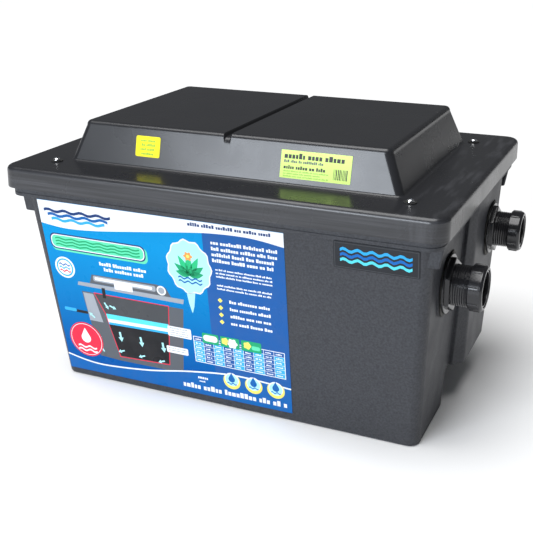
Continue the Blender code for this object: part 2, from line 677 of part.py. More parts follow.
def make_connector(prefix, spec, materials):
    """Threaded tail with flange and hexagon, gasket, back nut, union nut, liner and O-ring."""
    y, z = spec["centre"]
    seat = spec["seat"]
    place = along_x(seat, y, z)
    gasket = (GAP, 0.0024)
    flange = (0.0027, 0.0052)
    hexagon_end = 0.0118
    nut_start = hexagon_end + (0.0235 if prefix == "outlet" else 0.0205)
    nut_end = nut_start + spec["nut_length"]
    lip = 0.0035
    tail_end = nut_end - lip - 0.0055
    shank = spec["tail"] + 0.004

    tail = rod(prefix + "_tail", (
        (shank, -0.034), (shank, flange[0]), (spec["flange"], flange[0]),
        (spec["flange"], flange[1] - 0.0006),
        (spec["flange"] - 0.0006, flange[1]), (spec["thread"], flange[1]), (spec["thread"], tail_end)),
        place, materials["fitting"])
    collar = hexagon(prefix + "_hexagon", spec["hexagon"], (flange[1] - 0.001, hexagon_end), place, None)
    combine(tail, collar, "UNION")
    bore = rod(prefix + "_tail_bore", ((spec["tail"], -0.06), (spec["tail"], 0.08)), place)
    combine(tail, bore)

    disc_radius = spec["flange"] - 0.003
    gasket_body = rod(prefix + "_gasket", ((disc_radius, gasket[0]), (disc_radius, gasket[1])),
                      place, materials["rubber"])
    for side in (-1, 1):
        angle = math.radians(GASKET_TURN) + (math.pi if side < 0 else 0.0)
        reach = spec["flange"] + LOBE_REACH - LOBE_RADIUS
        lobe_y = y + reach * math.cos(angle)
        lobe_z = z + reach * math.sin(angle)
        lobe = rod("%s_lobe_%d" % (prefix, side), ((LOBE_RADIUS, gasket[0]), (LOBE_RADIUS, gasket[1])),
                   along_x(seat, lobe_y, lobe_z), steps=20)
        combine(gasket_body, lobe, "UNION")
    gasket_bore = rod(prefix + "_gasket_bore", ((shank + GAP, -0.01), (shank + GAP, 0.01)), place)
    combine(gasket_body, gasket_bore)

    back = -WALL_AT_SEAT - GAP
    back_nut = hexagon(prefix + "_back_nut", shank + 0.012, (back - 0.012, back), place, materials["fitting"])
    back_bore = rod(prefix + "_back_nut_bore", ((shank + GAP, -0.06), (shank + GAP, 0.02)), place)
    combine(back_nut, back_bore)

    inner = spec["thread"] + GAP
    mouth = spec["thread"] - 0.0030
    barrel = spec["nut"] - NUT_RIB_HEIGHT
    nut = turned(prefix + "_union_nut", (
        (inner, nut_start), (barrel - 0.0006, nut_start), (barrel, nut_start + 0.0006),
        (barrel, nut_end - 0.003),
        (barrel - 0.0022, nut_end), (mouth, nut_end), (mouth, nut_end - lip), (inner, nut_end - lip)),
        place, materials["fitting"])
    add_grips(nut, prefix, spec["nut"], nut_start, nut_end, place)

    seal = 0.0011
    ring_inside = (spec["tail"] + spec["thread"]) / 2 - seal
    ring_place = along_x(seat + tail_end + GAP + seal, y, z)
    o_ring(prefix + "_o_ring", ring_inside, seal, ring_place, materials["black_rubber"])
    liner_low = tail_end + 2 * GAP + 2 * seal
    liner_high = nut_end - lip - GAP
    sleeve = mouth - 0.0005
    inside = spec["tail"] + 0.0005
    turned(prefix + "_liner", (
        (inside, liner_low), (spec["thread"] - 0.0005, liner_low), (spec["thread"] - 0.0005, liner_high),
        (sleeve, liner_high), (sleeve, nut_end - 0.0012), (inside, nut_end - 0.0012)),
        place, materials["fitting"])


def add_grips(nut, prefix, outer, start, end, place):
    """Lengthways ribs round the union nut, short of its mouth."""
    ribs = None
    inner = outer - NUT_RIB_HEIGHT - 0.001
    for k in range(NUT_GRIPS):
        rib = bar("%s_grip_%d" % (prefix, k), (inner, outer), (-NUT_RIB_WIDTH / 2, NUT_RIB_WIDTH / 2),
                  (start + 0.0006, end - 0.0045))
        rib.data.transform(Matrix.Rotation(math.radians(GRIP_START + 360 * k / NUT_GRIPS), 4, "Z"))
        if ribs is None:
            ribs = rib
        else:
            join_mesh(ribs, rib)
    ribs.matrix_world = place
    combine(nut, ribs, "UNION")


def plate_on_slope(name, corners, skin, normal, material):
    """Thin plate: four corners on a wall's outer face, lifted off it by the gap."""
    loops = []
    for lift in (GAP, GAP + skin):
        loops.append([tuple(Vector(c) + Vector(normal) * lift) for c in corners])
    return loft(name, loops, material)


def front_point(x, z):
    return (x, -wall_half(z)[1], z)


def dome_point(x, z):
    return (x, -dome_half(z)[1], z)


def make_labels(materials):
    lean = math.atan2(TANK_HALF_RIM[1] - TANK_HALF_BASE[1], RIM_UNDERSIDE)
    front_normal = (0.0, -math.cos(lean), -math.sin(lean))
    plate_on_slope("front_label", [
        front_point(-0.2935, 0.0115), front_point(0.1105, 0.0115),
        front_point(0.1120, 0.3150), front_point(-0.3010, 0.3150)], LABEL_SKIN, front_normal,
        materials["label"])
    plate_on_slope("name_badge", [
        front_point(0.1845, 0.2755), front_point(0.3030, 0.2755),
        front_point(0.3040, 0.3150), front_point(0.1845, 0.3150)], BADGE_SKIN, front_normal,
        materials["badge"])
    slope = math.atan2(DOME_HALF_BASE[1] - DOME_HALF_TOP[1], DOME_TOP - FLANGE_Z)
    dome_normal = (0.0, -math.cos(slope), math.sin(slope))
    for name, xs, zs, key in (("yellow_sticker", (-0.149, -0.108), (0.386, 0.4155), "yellow"),
                              ("rating_sticker", (0.086, 0.190), (0.379, 0.4165), "lime")):
        plate_on_slope(name, [
            dome_point(xs[0], zs[0]), dome_point(xs[1], zs[0]),
            dome_point(xs[1], zs[1]), dome_point(xs[0], zs[1])], LABEL_SKIN, dome_normal, materials[key])


def main():
    clear_scene()
    materials = make_materials()
    make_tank(materials)
    make_lid(materials)
    make_lid_screws(materials)
    make_tray(materials)
    make_uv_unit(materials)
    make_ballast(materials)
    make_gland(materials)
    make_pipes(materials)
    make_container(materials)
    make_media(materials)
    make_connector("outlet", OUTLET, materials)
    make_connector("inlet", INLET, materials)
    make_labels(materials)


main()
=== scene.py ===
"""Looks of the box pond filter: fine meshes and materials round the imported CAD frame.

Metres, +Z up, in the CAD's own frame: hose connectors on the +X end, front face along -Y.
"""

import json
import random
from math import atan2, copysign, cos, pi, radians, sin, sqrt

import bmesh
import bpy
from mathutils import Matrix, Vector, noise


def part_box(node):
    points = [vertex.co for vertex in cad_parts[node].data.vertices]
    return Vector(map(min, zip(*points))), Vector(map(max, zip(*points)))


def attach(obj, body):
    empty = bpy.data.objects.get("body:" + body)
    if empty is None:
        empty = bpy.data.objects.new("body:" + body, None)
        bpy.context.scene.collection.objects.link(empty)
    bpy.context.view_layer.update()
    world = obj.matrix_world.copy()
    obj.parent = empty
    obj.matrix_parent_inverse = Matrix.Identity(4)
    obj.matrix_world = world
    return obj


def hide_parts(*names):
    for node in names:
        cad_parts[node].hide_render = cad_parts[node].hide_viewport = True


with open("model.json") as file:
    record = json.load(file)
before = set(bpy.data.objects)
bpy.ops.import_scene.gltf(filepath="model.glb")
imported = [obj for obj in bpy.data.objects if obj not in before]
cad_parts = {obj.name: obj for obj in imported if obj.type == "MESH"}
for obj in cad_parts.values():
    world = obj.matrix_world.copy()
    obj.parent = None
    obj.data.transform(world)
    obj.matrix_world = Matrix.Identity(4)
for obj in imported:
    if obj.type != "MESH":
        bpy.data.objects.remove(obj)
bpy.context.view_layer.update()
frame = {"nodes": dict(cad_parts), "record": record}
RECORD = frame["record"]
HOME = {node: body for body, nodes in RECORD["behaviour"]["bodies"].items() for node in nodes}
SLOT = {part["node"]: part["material_slot"] for part in RECORD["subparts"]}

# Driving dimensions, as in the CAD source
GAP = 0.0003
TANK_HALF_BASE = (0.3035, 0.1795)
TANK_HALF_RIM = (0.3209, 0.2195)
RIM_UNDERSIDE = 0.323
RIM_TOP = 0.3653
RIM_HALF = (0.336, 0.2393)
RIM_SKIN = 0.004
TANK_WALL = 0.0045
TANK_CORNER = 0.016
RIM_CORNER = 0.022
STEP_Z = 0.064
STEP_FRONT_Y = -0.042
STEP_INNER_X = 0.25
BOX_FACE_X = (0.328, 0.335)
BOX_FRONT_Y = (-0.009, -0.017)
BOX_BACK_Y = (0.118, 0.152)
BOX_LEDGE_Y = (-0.025, -0.034)
BOX_LEDGE_OUT = 0.006
LUG_SIZE = (0.013, 0.006, 0.031)
LUG_Y = 0.2105
SKIRT_HALF_LOW = (0.3427, 0.2463)
SKIRT_HALF_TOP = (0.3426, 0.2452)
SKIRT_BOTTOM = 0.3365
FLANGE_Z = 0.3697
LID_CORNER = 0.024
LID_SKIN = 0.0035
DOME_HALF_BASE = (0.2648, 0.1743)
DOME_HALF_TOP = (0.24, 0.1593)
DOME_TOP = 0.4303
DOME_CORNER = 0.011
GROOVE_HALF_WIDTH = 0.0055
GROOVE_DEPTH = 0.0055
SCREW_X = 0.279
SCREW_FRONT_Y = -0.189
SCREW_BACK_Y = 0.176
CONTAINER_LEFT = (-0.276, -0.284)
CONTAINER_RIGHT = 0.203
CONTAINER_HALF_Y = (0.16, 0.19)
CONTAINER_TOP = 0.292
CONTAINER_FLOOR = 0.03
CONTAINER_SKIN = 0.003
OUTLET = dict(centre=(-0.1175, 0.2365), seat=0.3175, thread=0.0296, nut=0.0336, flange=0.0432,
              hexagon=0.0405, tail=0.0232, nut_length=0.02, nut_gap=0.0235)
INLET = dict(centre=(0.0825, 0.259), seat=0.3333, thread=0.0272, nut=0.0315, flange=0.0393,
             hexagon=0.037, tail=0.02, nut_length=0.0185, nut_gap=0.0205)
LOBE_REACH = 0.0055
LOBE_RADIUS = 0.0185
WALL_AT_SEAT = 0.0075
NUT_GRIPS = 8
NUT_RIB_HEIGHT = 0.0012
NUT_RIB_WIDTH = 0.0042
GRIP_START = 28.0                 # degrees from straight down to the first rib
GASKET_TURN = 232.0               # direction of the first lobe, in degrees
THREAD_PITCH = 0.0032
TAIL_WALL = 0.004
HEXAGON_END = 0.0118              # ends of the hexagon and of the tail, from the seat plane
TAIL_INNER_END = -0.034
NUT_LIP = 0.0035
TAIL_SHORT_OF_LIP = 0.0055
SEAL_SPACE = 0.0022               # for the O-ring between tail and liner
GASKET_THICK = 0.0024
WASHER_THICK = 0.0012

# Finish of the visible meshes
CORNER_STEPS = 10
TURN_STEPS = 192
LID_EDGE = 0.008                  # round edge between skirt and flange
DOME_FOOT = 0.003                 # hollow round where the dome leaves the flange
DOME_EDGE = 0.0075
INK = 0.00006                     # thickness of one printed layer
FILM = 0.0003                     # thickness of a label or sticker
BADGE_PLATE = 0.0008
FOAM_CLEARANCE = 0.0035           # from the container's wall
FOAM_CORNER = 0.006
FOAM_EDGE = 0.0035

# Camera: place, point looked at, roll, focal length on a 36 mm wide sensor
CAMERA_PLACE = (0.5909, -1.3168, 0.7263)
CAMERA_TARGET = (-0.0141, 0.0, 0.1696)
CAMERA_ROLL = -0.5
CAMERA_LENS = 62.7

# Light: one softbox in front, one wide sun overhead, a faint sky
SOFTBOX_PLACE = (-0.85, -3.3, 1.06)
SOFTBOX_TARGET = (0.15, -0.17, 0.4)
SOFTBOX_SIZE = (1.8, 0.9)
SOFTBOX_POWER = 84.0
SOFTBOX_COLOUR = (0.86, 0.92, 1.0)
SUN_STRENGTH = 3.4
SUN_WIDTH = 50.0
SUN_TILT = (12.0, -8.0)
SKY_COLOUR = (0.93, 0.96, 1.0, 1.0)
SKY_STRENGTH = 0.12
FLOOR_HALF = 20.0


# ---- mesh helpers

def add(name, data):
    obj = bpy.data.objects.new(name, data)
    bpy.context.scene.collection.objects.link(obj)
    return obj


def shade(mesh, angle=35):
    mesh.shade_smooth()
    mesh.set_sharp_from_angle(angle=radians(angle))


def keep_flat(obj):
    obj.modifiers.new("flat_faces_stay_flat", "WEIGHTED_NORMAL").keep_sharp = True


def link(name, mesh, *looks, angle=35):
    obj = add(name, mesh)
    for material in looks:
        mesh.materials.append(material)
    shade(mesh, angle)
    keep_flat(obj)
    return obj


def mesh_from(name, bm):
    bmesh.ops.remove_doubles(bm, verts=bm.verts, dist=1e-6)
    bmesh.ops.recalc_face_normals(bm, faces=bm.faces)
    mesh = bpy.data.meshes.new(name)
    bm.to_mesh(mesh)
    bm.free()
    return mesh


def flat_cap(bm, loop):
    bm.faces.new(loop)


def skin(name, loops, material, ring=False, cap=flat_cap, angle=35):
    """Closed skin through equal loops, capped at both ends or joined end to end."""
    bm = bmesh.new()
    rings = [[bm.verts.new(point) for point in loop] for loop in loops]
    pairs = list(zip(rings, rings[1:]))
    if ring:
        pairs.append((rings[-1], rings[0]))
    for low, high in pairs:
        for i in range(len(low)):
            j = (i + 1) % len(low)
            bm.faces.new((low[i], low[j], high[j], high[i]))
    if not ring:
        cap(bm, rings[0])
        cap(bm, rings[-1])
    return link(name, mesh_from(name, bm), material, angle=angle)


def combine(target, tool, operation="DIFFERENCE"):
    """Applies a Boolean at once and removes the tool."""
    target.modifiers.clear()
    modifier = target.modifiers.new("combine", "BOOLEAN")
    modifier.operation = operation
    modifier.solver = "EXACT"
    modifier.object = tool
    bpy.context.view_layer.update()
    graph = bpy.context.evaluated_depsgraph_get()
    mesh = bpy.data.meshes.new_from_object(target.evaluated_get(graph))
    target.modifiers.clear()
    target.data = mesh
    bpy.data.objects.remove(tool, do_unlink=True)
    shade(mesh)
    keep_flat(target)


def arc(cx, cy, radius, start, end, steps=CORNER_STEPS):
    points = []
    for k in range(steps + 1):
        a = radians(start + (end - start) * k / steps)
        points.append((cx + radius * cos(a), cy + radius * sin(a)))
    return points


def soften(previous, corner, following, reach, steps=4):
    """Round corner between two straight stretches, starting reach before it."""
    p, c, q = Vector(previous), Vector(corner), Vector(following)
    start = c + (p - c).normalized() * reach
    end = c + (q - c).normalized() * reach
    shares = [k / steps for k in range(steps + 1)]
    return [tuple(start * (1 - s) ** 2 + c * 2 * s * (1 - s) + end * s ** 2) for s in shares]


def rounded(half, radius, extra_x=(), centre=(0.0, 0.0), steps=CORNER_STEPS):
    """Counter-clockwise rounded rectangle, with more points at extra_x on front and back."""
    hx, hy = half
    points = arc(-hx + radius, -hy + radius, radius, 180, 270, steps)
    points += [(x, -hy) for x in extra_x]
    points += arc(hx - radius, -hy + radius, radius, 270, 360, steps)
    points += arc(hx - radius, hy - radius, radius, 0, 90, steps)
    points += [(x, hy) for x in reversed(extra_x)]
    points += arc(-hx + radius, hy - radius, radius, 90, 180, steps)
    return [(x + centre[0], y + centre[1]) for x, y in points]


def at_height(outline, z):
    return [(x, y, z) for x, y in outline]


def mix(pair, t):
    return pair[0] + (pair[1] - pair[0]) * t


def smooth_step(t):
    t = max(0.0, min(1.0, t))
    return t * t * (3 - 2 * t)


def shrink(half, amount):
    return (half[0] - amount, half[1] - amount)


def wall_half(z):
    t = z / RIM_UNDERSIDE
    return tuple(mix(pair, t) for pair in zip(TANK_HALF_BASE, TANK_HALF_RIM))


def dome_half(z):
    t = (z - FLANGE_Z) / (DOME_TOP - FLANGE_Z)
    return tuple(mix(pair, t) for pair in zip(DOME_HALF_BASE, DOME_HALF_TOP))


def even_angles(steps=TURN_STEPS):
    return [2 * pi * k / steps for k in range(steps)]


def turned(name, rows, angles, point, material, ring=True, angle=35):
    """Turned skin. rows are (height, radius), and radius may be a function of the angle."""
    loops = []
    for height, radius in rows:
        loops.append([point(height, radius(a) if callable(radius) else radius, a) for a in angles])
    return skin(name, loops, material, ring=ring, angle=angle)


def about_x(spec):
    """Turns round a connector's axis: heights run outwards from its seat plane."""
    y, z = spec["centre"]
    return lambda height, r, a: (spec["seat"] + height, y + r * cos(a), z + r * sin(a))


def about_z(x, y):
    return lambda height, r, a: (x + r * cos(a), y + r * sin(a), height)


def stand_for(obj, *nodes):
    """Puts a piece on the body of the CAD nodes it replaces, and hides those nodes."""
    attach(obj, HOME[nodes[0]])
    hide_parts(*nodes)


# ---- materials

class Surface:
    """A Principled material with short calls for the nodes that vary it."""

    def __init__(self, name, colour, roughness, metallic=0.0, specular=0.5):
        self.material = bpy.data.materials.new(name)
        self.material.use_nodes = True
        self.tree = self.material.node_tree
        self.shader = self.tree.nodes["Principled BSDF"]
        self.shader.inputs["Base Color"].default_value = (*colour, 1.0)
        self.shader.inputs["Roughness"].default_value = roughness
        self.shader.inputs["Metallic"].default_value = metallic
        self.shader.inputs["Specular IOR Level"].default_value = specular
        self.height = None
        self.coordinates = self.tree.nodes.new("ShaderNodeTexCoord").outputs["Object"]

    def node(self, kind, **inputs):
        made = self.tree.nodes.new(kind)
        for key, value in inputs.items():
            socket = made.inputs[key.replace("_", " ")]
            if isinstance(value, bpy.types.NodeSocket):
                self.tree.links.new(value, socket)
            else:
                socket.default_value = value
        return made

    def noise(self, scale, detail=2.0, stretch=None):
        vector = self.coordinates
        if stretch:
            vector = self.node("ShaderNodeMapping", Vector=vector, Scale=stretch).outputs["Vector"]
        return self.node("ShaderNodeTexNoise", Vector=vector, Scale=scale, Detail=detail).outputs["Fac"]

    def spots(self, scale):
        return self.node("ShaderNodeTexVoronoi", Vector=self.coordinates, Scale=scale).outputs["Distance"]

    def remap(self, value, low, high, to_low, to_high):
        made = self.node("ShaderNodeMapRange", Value=value)
        for key, number in zip(("From Min", "From Max", "To Min", "To Max"), (low, high, to_low, to_high)):
            made.inputs[key].default_value = number
        return made.outputs["Result"]

    def patchy(self, scale, detail, low, high):
        """Wanders between low and high over the surface."""
        return self.remap(self.noise(scale, detail), 0.3, 0.7, low, high)

    def times(self, first, second):
        made = self.tree.nodes.new("ShaderNodeMath")
        made.operation = "MULTIPLY"
        self.tree.links.new(first, made.inputs[0])
        self.tree.links.new(second, made.inputs[1])
        return made.outputs["Value"]

    def blend(self, share, first, second):
        made = self.tree.nodes.new("ShaderNodeMix")
        made.data_type = "RGBA"
        self.tree.links.new(share, made.inputs["Factor"])
        for socket, value in ((made.inputs["A"], first), (made.inputs["B"], second)):
            if isinstance(value, bpy.types.NodeSocket):
                self.tree.links.new(value, socket)
            else:
                socket.default_value = (*value, 1.0)
        return made.outputs["Result"]

    def colour(self, output):
        self.tree.links.new(output, self.shader.inputs["Base Color"])

    def roughness(self, output):
        self.tree.links.new(output, self.shader.inputs["Roughness"])

    def bump(self, output, strength, distance):
        made = self.node("ShaderNodeBump", Height=output, Strength=strength, Distance=distance)
        if self.height is not None:
            self.tree.links.new(self.height, made.inputs["Normal"])
        self.height = made.outputs["Normal"]
        self.tree.links.new(self.height, self.shader.inputs["Normal"])


def moulded(name, colour, roughness, grain, depth, spread=0.12):
    """Moulded plastic: fine grain, slow change in tone, uneven gloss."""
    look = Surface(name, colour, roughness)
    lighter = tuple(c * 1.35 + 0.002 for c in colour)
    cloud = look.remap(look.noise(7.0, 4.0), 0.35, 0.7, 0.0, 1.0)
    look.colour(look.blend(cloud, colour, lighter))
    look.roughness(look.patchy(18.0, 5.0, roughness - spread / 2, roughness + spread / 2))
    look.bump(look.noise(grain, 3.0), 0.45, depth)
    return look.material


def tank_plastic():
    """Grained plastic, pebbled finely enough to see at arm's length."""
    look = Surface("tank_plastic_look", (0.034, 0.036, 0.044), 0.5, specular=0.35)
    pebbles = look.noise(340.0, 3.0)
    look.colour(look.blend(look.remap(pebbles, 0.3, 0.7, 0.0, 1.0),
                                 (0.025, 0.0265, 0.0315), (0.046, 0.0485, 0.056)))
    look.roughness(look.patchy(18.0, 5.0, 0.44, 0.58))
    look.bump(pebbles, 0.7, 0.0007)
    look.bump(look.noise(9.0, 2.0), 0.25, 0.002)
    return look.material


def lid_plastic():
    """Smooth and half glossy: streaks along the front skirt, scuffs on the flange's right end, dust."""
    base, streak = (0.018, 0.0185, 0.021), (0.05, 0.051, 0.057)
    look = Surface("lid_plastic_look", base, 0.3, specular=0.45)
    place = look.node("ShaderNodeSeparateXYZ", Vector=look.coordinates).outputs
    lines = look.remap(look.noise(1.0, 6.0, stretch=(5.0, 5.0, 300.0)), 0.42, 0.75, 0.0, 1.0)
    skirt = look.remap(place["Z"], FLANGE_Z - 0.004, FLANGE_Z - 0.001, 1.0, 0.0)
    front = look.remap(place["Y"], -0.232, -0.226, 1.0, 0.0)
    tone = look.blend(look.times(look.times(lines, skirt), front), base, streak)
    scuffs = look.remap(look.noise(1.0, 5.0, stretch=(90.0, 14.0, 14.0)), 0.52, 0.72, 0.0, 0.8)
    right_end = look.remap(place["X"], 0.262, 0.3, 0.0, 1.0)
    tone = look.blend(look.times(scuffs, right_end), tone, streak)
    dust = look.remap(look.spots(17.0), 0.01, 0.014, 1.0, 0.0)
    look.colour(look.blend(dust, tone, (0.3, 0.3, 0.28)))
    look.roughness(look.patchy(14.0, 4.0, 0.25, 0.31))
    look.bump(look.noise(5.0, 2.0), 0.2, 0.0012)
    look.bump(look.noise(1500.0, 2.0), 0.08, 0.0001)
    return look.material


def rubber(name, colour):
    return moulded(name, colour, 0.72, 850.0, 0.00018)


def bright_metal(name, colour, roughness):
    look = Surface(name, colour, roughness, metallic=1.0)
    look.roughness(look.patchy(240.0, 4.0, roughness * 0.7, roughness * 1.6))
    look.bump(look.noise(700.0, 2.0), 0.1, 0.00005)
    return look.material


def quartz():
    look = Surface("quartz_look", (0.96, 0.98, 1.0), 0.04)
    look.shader.inputs["Transmission Weight"].default_value = 0.92
    look.shader.inputs["IOR"].default_value = 1.46
    look.roughness(look.remap(look.noise(60.0, 3.0), 0.4, 0.8, 0.03, 0.12))
    return look.material


def lamp_glass():
    look = Surface("lamp_glass_look", (0.86, 0.89, 0.93), 0.12)
    frost = look.remap(look.noise(1.0, 3.0, stretch=(30.0, 160.0, 160.0)), 0.4, 0.7, 0.0, 1.0)
    look.colour(look.blend(frost, (0.9, 0.92, 0.95), (0.72, 0.76, 0.84)))
    return look.material


def foam(name, colour):
    """Open-cell foam: painted shade in its pores, over a soft, uneven colour."""
    look = Surface(name, colour, 0.95)
    look.shader.inputs["Sheen Weight"].default_value = 0.25
    dark = tuple(c * 0.3 for c in colour)
    pores = look.spots(480.0)
    patchy = look.blend(look.patchy(14.0, 3.0, 0.0, 0.35), colour, dark)
    # painted shade: the colour is darkened in the pores, where shade falls
    look.colour(look.blend(look.remap(pores, 0.1, 0.42, 0.85, 0.0), patchy, dark))
    look.bump(pores, 0.9, 0.0012)
    return look.material


def net_cloth():
    """Black net over pale loose media."""
    look = Surface("media_net_look", (0.03, 0.03, 0.03), 0.85)
    strands = look.node("ShaderNodeTexVoronoi", Vector=look.coordinates, Scale=230.0)
    strands.feature = "DISTANCE_TO_EDGE"
    lumps = look.blend(look.remap(look.noise(90.0, 3.0), 0.35, 0.65, 0.0, 1.0),
                          (0.1, 0.1, 0.11), (0.26, 0.27, 0.28))
    through = look.remap(strands.outputs["Distance"], 0.03, 0.07, 0.0, 1.0)
    look.colour(look.blend(through, (0.015, 0.015, 0.016), lumps))
    look.bump(through, 0.8, -0.0009)
    return look.material


def print_base(name, top, bottom, z_low, z_high):
    """Film whose colour runs from bottom to top: a printed fade on the front label, painted light on the
    badge plate and the stickers.
    """
    look = Surface(name, top, 0.3, specular=0.08)
    height = look.node("ShaderNodeSeparateXYZ", Vector=look.coordinates).outputs["Z"]
    share = look.remap(height, z_low, z_high, 0.0, 1.0)
    look.colour(look.blend(share, bottom, top))
    look.roughness(look.patchy(25.0, 3.0, 0.24, 0.36))
    look.bump(look.noise(26.0, 2.0), 0.12, 0.0006)
    return look.material


def ink(name, colour):
    look = Surface("ink_" + name, colour, 0.32, specular=0.15)
    faded = tuple(min(1.0, c * 0.9 + 0.012) for c in colour)
    look.colour(look.blend(look.patchy(40.0, 3.0, 0.0, 1.0), colour, faded))
    look.roughness(look.patchy(25.0, 3.0, 0.26, 0.38))
    return look.material


def floor_material():
    look = Surface("floor_look", (0.88, 0.88, 0.88), 0.85, specular=0.1)
    look.colour(look.blend(look.patchy(2.0, 4.0, 0.0, 1.0), (0.88, 0.88, 0.88), (0.9, 0.9, 0.9)))
    return look.material


INKS = dict(
    white=(0.84, 0.87, 0.9), navy=(0.008, 0.04, 0.16), column=(0.008, 0.095, 0.34),
    deep=(0.0, 0.115, 0.4), blue=(0.005, 0.14, 0.5), sky=(0.03, 0.4, 0.78),
    cyan=(0.1, 0.68, 0.8), pale=(0.42, 0.82, 0.86), green=(0.01, 0.36, 0.15),
    mint=(0.12, 0.72, 0.42), leaf=(0.02, 0.5, 0.2), red=(0.76, 0.02, 0.06),
    yellow=(0.9, 0.78, 0.15), orange=(0.85, 0.33, 0.08), grey=(0.1, 0.11, 0.125),
    light=(0.33, 0.36, 0.4), black=(0.012, 0.012, 0.014), lime_ink=(0.26, 0.52, 0.06),
    edge=(0.06, 0.064, 0.07))


def make_materials():
    made = dict(
        tank_plastic=tank_plastic(),
        lid_plastic=lid_plastic(),
        fitting_plastic=moulded("fitting_plastic_look", (0.012, 0.012, 0.014), 0.2, 900.0, 0.00006, 0.08),
        inner_plastic=moulded("inner_plastic_look", (0.05, 0.051, 0.056), 0.48, 500.0, 0.0002),
        white_plastic=moulded("white_plastic_look", (0.62, 0.63, 0.63), 0.38, 700.0, 0.0001, 0.08),
        quartz=quartz(),
        lamp_glass=lamp_glass(),
        seal_rubber=rubber("seal_rubber_look", (0.05, 0.048, 0.043)),
        black_rubber=rubber("black_rubber_look", (0.016, 0.016, 0.016)),
        chrome=bright_metal("chrome_look", (0.82, 0.83, 0.85), 0.1),
        zinc_steel=bright_metal("zinc_look", (0.55, 0.56, 0.58), 0.32),
        dark_washer=rubber("washer_look", (0.012, 0.012, 0.012)),
        foam_blue=foam("foam_blue_look", (0.035, 0.13, 0.38)),
        foam_cream=foam("foam_cream_look", (0.68, 0.65, 0.54)),
        foam_teal=foam("foam_teal_look", (0.05, 0.34, 0.34)),
        media_net=net_cloth(),
        label_print=print_base("label_look", (0.002, 0.26, 0.58), (0.0, 0.085, 0.33), 0.05, 0.26),
        # painted light: the badge plate is lighter towards its top
        badge_print=print_base("badge_look", (0.036, 0.038, 0.043), (0.03, 0.032, 0.036), 0.27, 0.32),
        # painted light: each sticker is lighter towards its top
        sticker_yellow=print_base("yellow_look", (0.95, 0.86, 0.03), (0.92, 0.82, 0.03), 0.386, 0.416),
        sticker_lime=print_base("lime_look", (0.66, 0.9, 0.24), (0.6, 0.86, 0.2), 0.379, 0.417))
    for name, colour in INKS.items():
        made[name] = ink(name, colour)
    return made


# ---- tank

STEP_OFFSETS = (-0.004, -0.0027, -0.0013, 0.0, 0.002, 0.0035, 0.005, 0.0065)
STEP_FIXED = 2 * (CORNER_STEPS + 1) + 4       # outline points that the step leaves where they are
BEND_POINTS = 25                              # five bends of the end wall, five points each
BACK_POINT_X = STEP_INNER_X - 0.025           # one more point on the back wall, where the step begins


def tank_upper(z, inset=0.0):
    """Outline above the step, with the ledge and the raised box on the right end."""
    hx, hy = shrink(wall_half(z), inset)
    radius = TANK_CORNER - inset
    t = min(1.0, (z - STEP_Z) / (RIM_UNDERSIDE - STEP_Z))
    ledge_y = mix(BOX_LEDGE_Y, t) + inset
    ledge_x = hx + BOX_LEDGE_OUT
    front_y = mix(BOX_FRONT_Y, t) + inset
    back_y = mix(BOX_BACK_Y, t) - inset
    face_x = mix(BOX_FACE_X, t) - inset
    step_y = STEP_FRONT_Y - inset
    points = arc(-hx + radius, -hy + radius, radius, 180, 270)
    points += arc(hx - radius, -hy + radius, radius, 270, 360)
    points += [(hx, step_y + d) for d in STEP_OFFSETS]
    bends = [(hx, ledge_y - 0.006), (hx, ledge_y), (ledge_x, ledge_y), (face_x, front_y),
             (face_x, back_y), (hx, back_y), (hx, back_y + 0.012)]
    for k, reach in ((1, 0.0012), (2, 0.0012), (3, 0.0045), (4, 0.004), (5, 0.002)):
        points += soften(bends[k - 1], bends[k], bends[k + 1], reach)
    points += arc(hx - radius, hy - radius, radius, 0, 90)
    points.append((BACK_POINT_X, hy))
    points += arc(-hx + radius, hy - radius, radius, 90, 180)
    return points


def tank_lower(z, inset=0.0):
    """Outline below the step: the right end steps in behind its front part."""
    hx, hy = shrink(wall_half(z), inset)
    radius = TANK_CORNER - inset
    inner_x = STEP_INNER_X - inset
    step_y = STEP_FRONT_Y - inset
    points = arc(-hx + radius, -hy + radius, radius, 180, 270)
    points += arc(hx - radius, -hy + radius, radius, 270, 360)
    edge, hollow = 0.004, 0.006       # radii of the step's edge and of the corner behind it
    points += arc(hx - edge, step_y - edge, edge, 0, 90, 3)
    points += arc(inner_x + hollow, step_y + hollow, hollow, 270, 180, 3)
    shelf = tank_upper(STEP_Z, inset)
    first = STEP_FIXED + 4
    last = first + BEND_POINTS
    points += [(inner_x, max(y, step_y + hollow + 0.0002)) for _, y in shelf[first:last]]
    points += arc(inner_x - radius, hy - radius, radius, 0, 90)
    points.append((BACK_POINT_X, hy))
    points += arc(-hx + radius, hy - radius, radius, 90, 180)
    return points


def eased_shelf(amount):
    """Outline just over the step, drawn in a little where it overhangs."""
    full = tank_upper(STEP_Z)
    drawn = tank_upper(STEP_Z, amount)
    last = len(full) - (CORNER_STEPS + 2)
    return full[:STEP_FIXED] + drawn[STEP_FIXED:last] + full[last:]


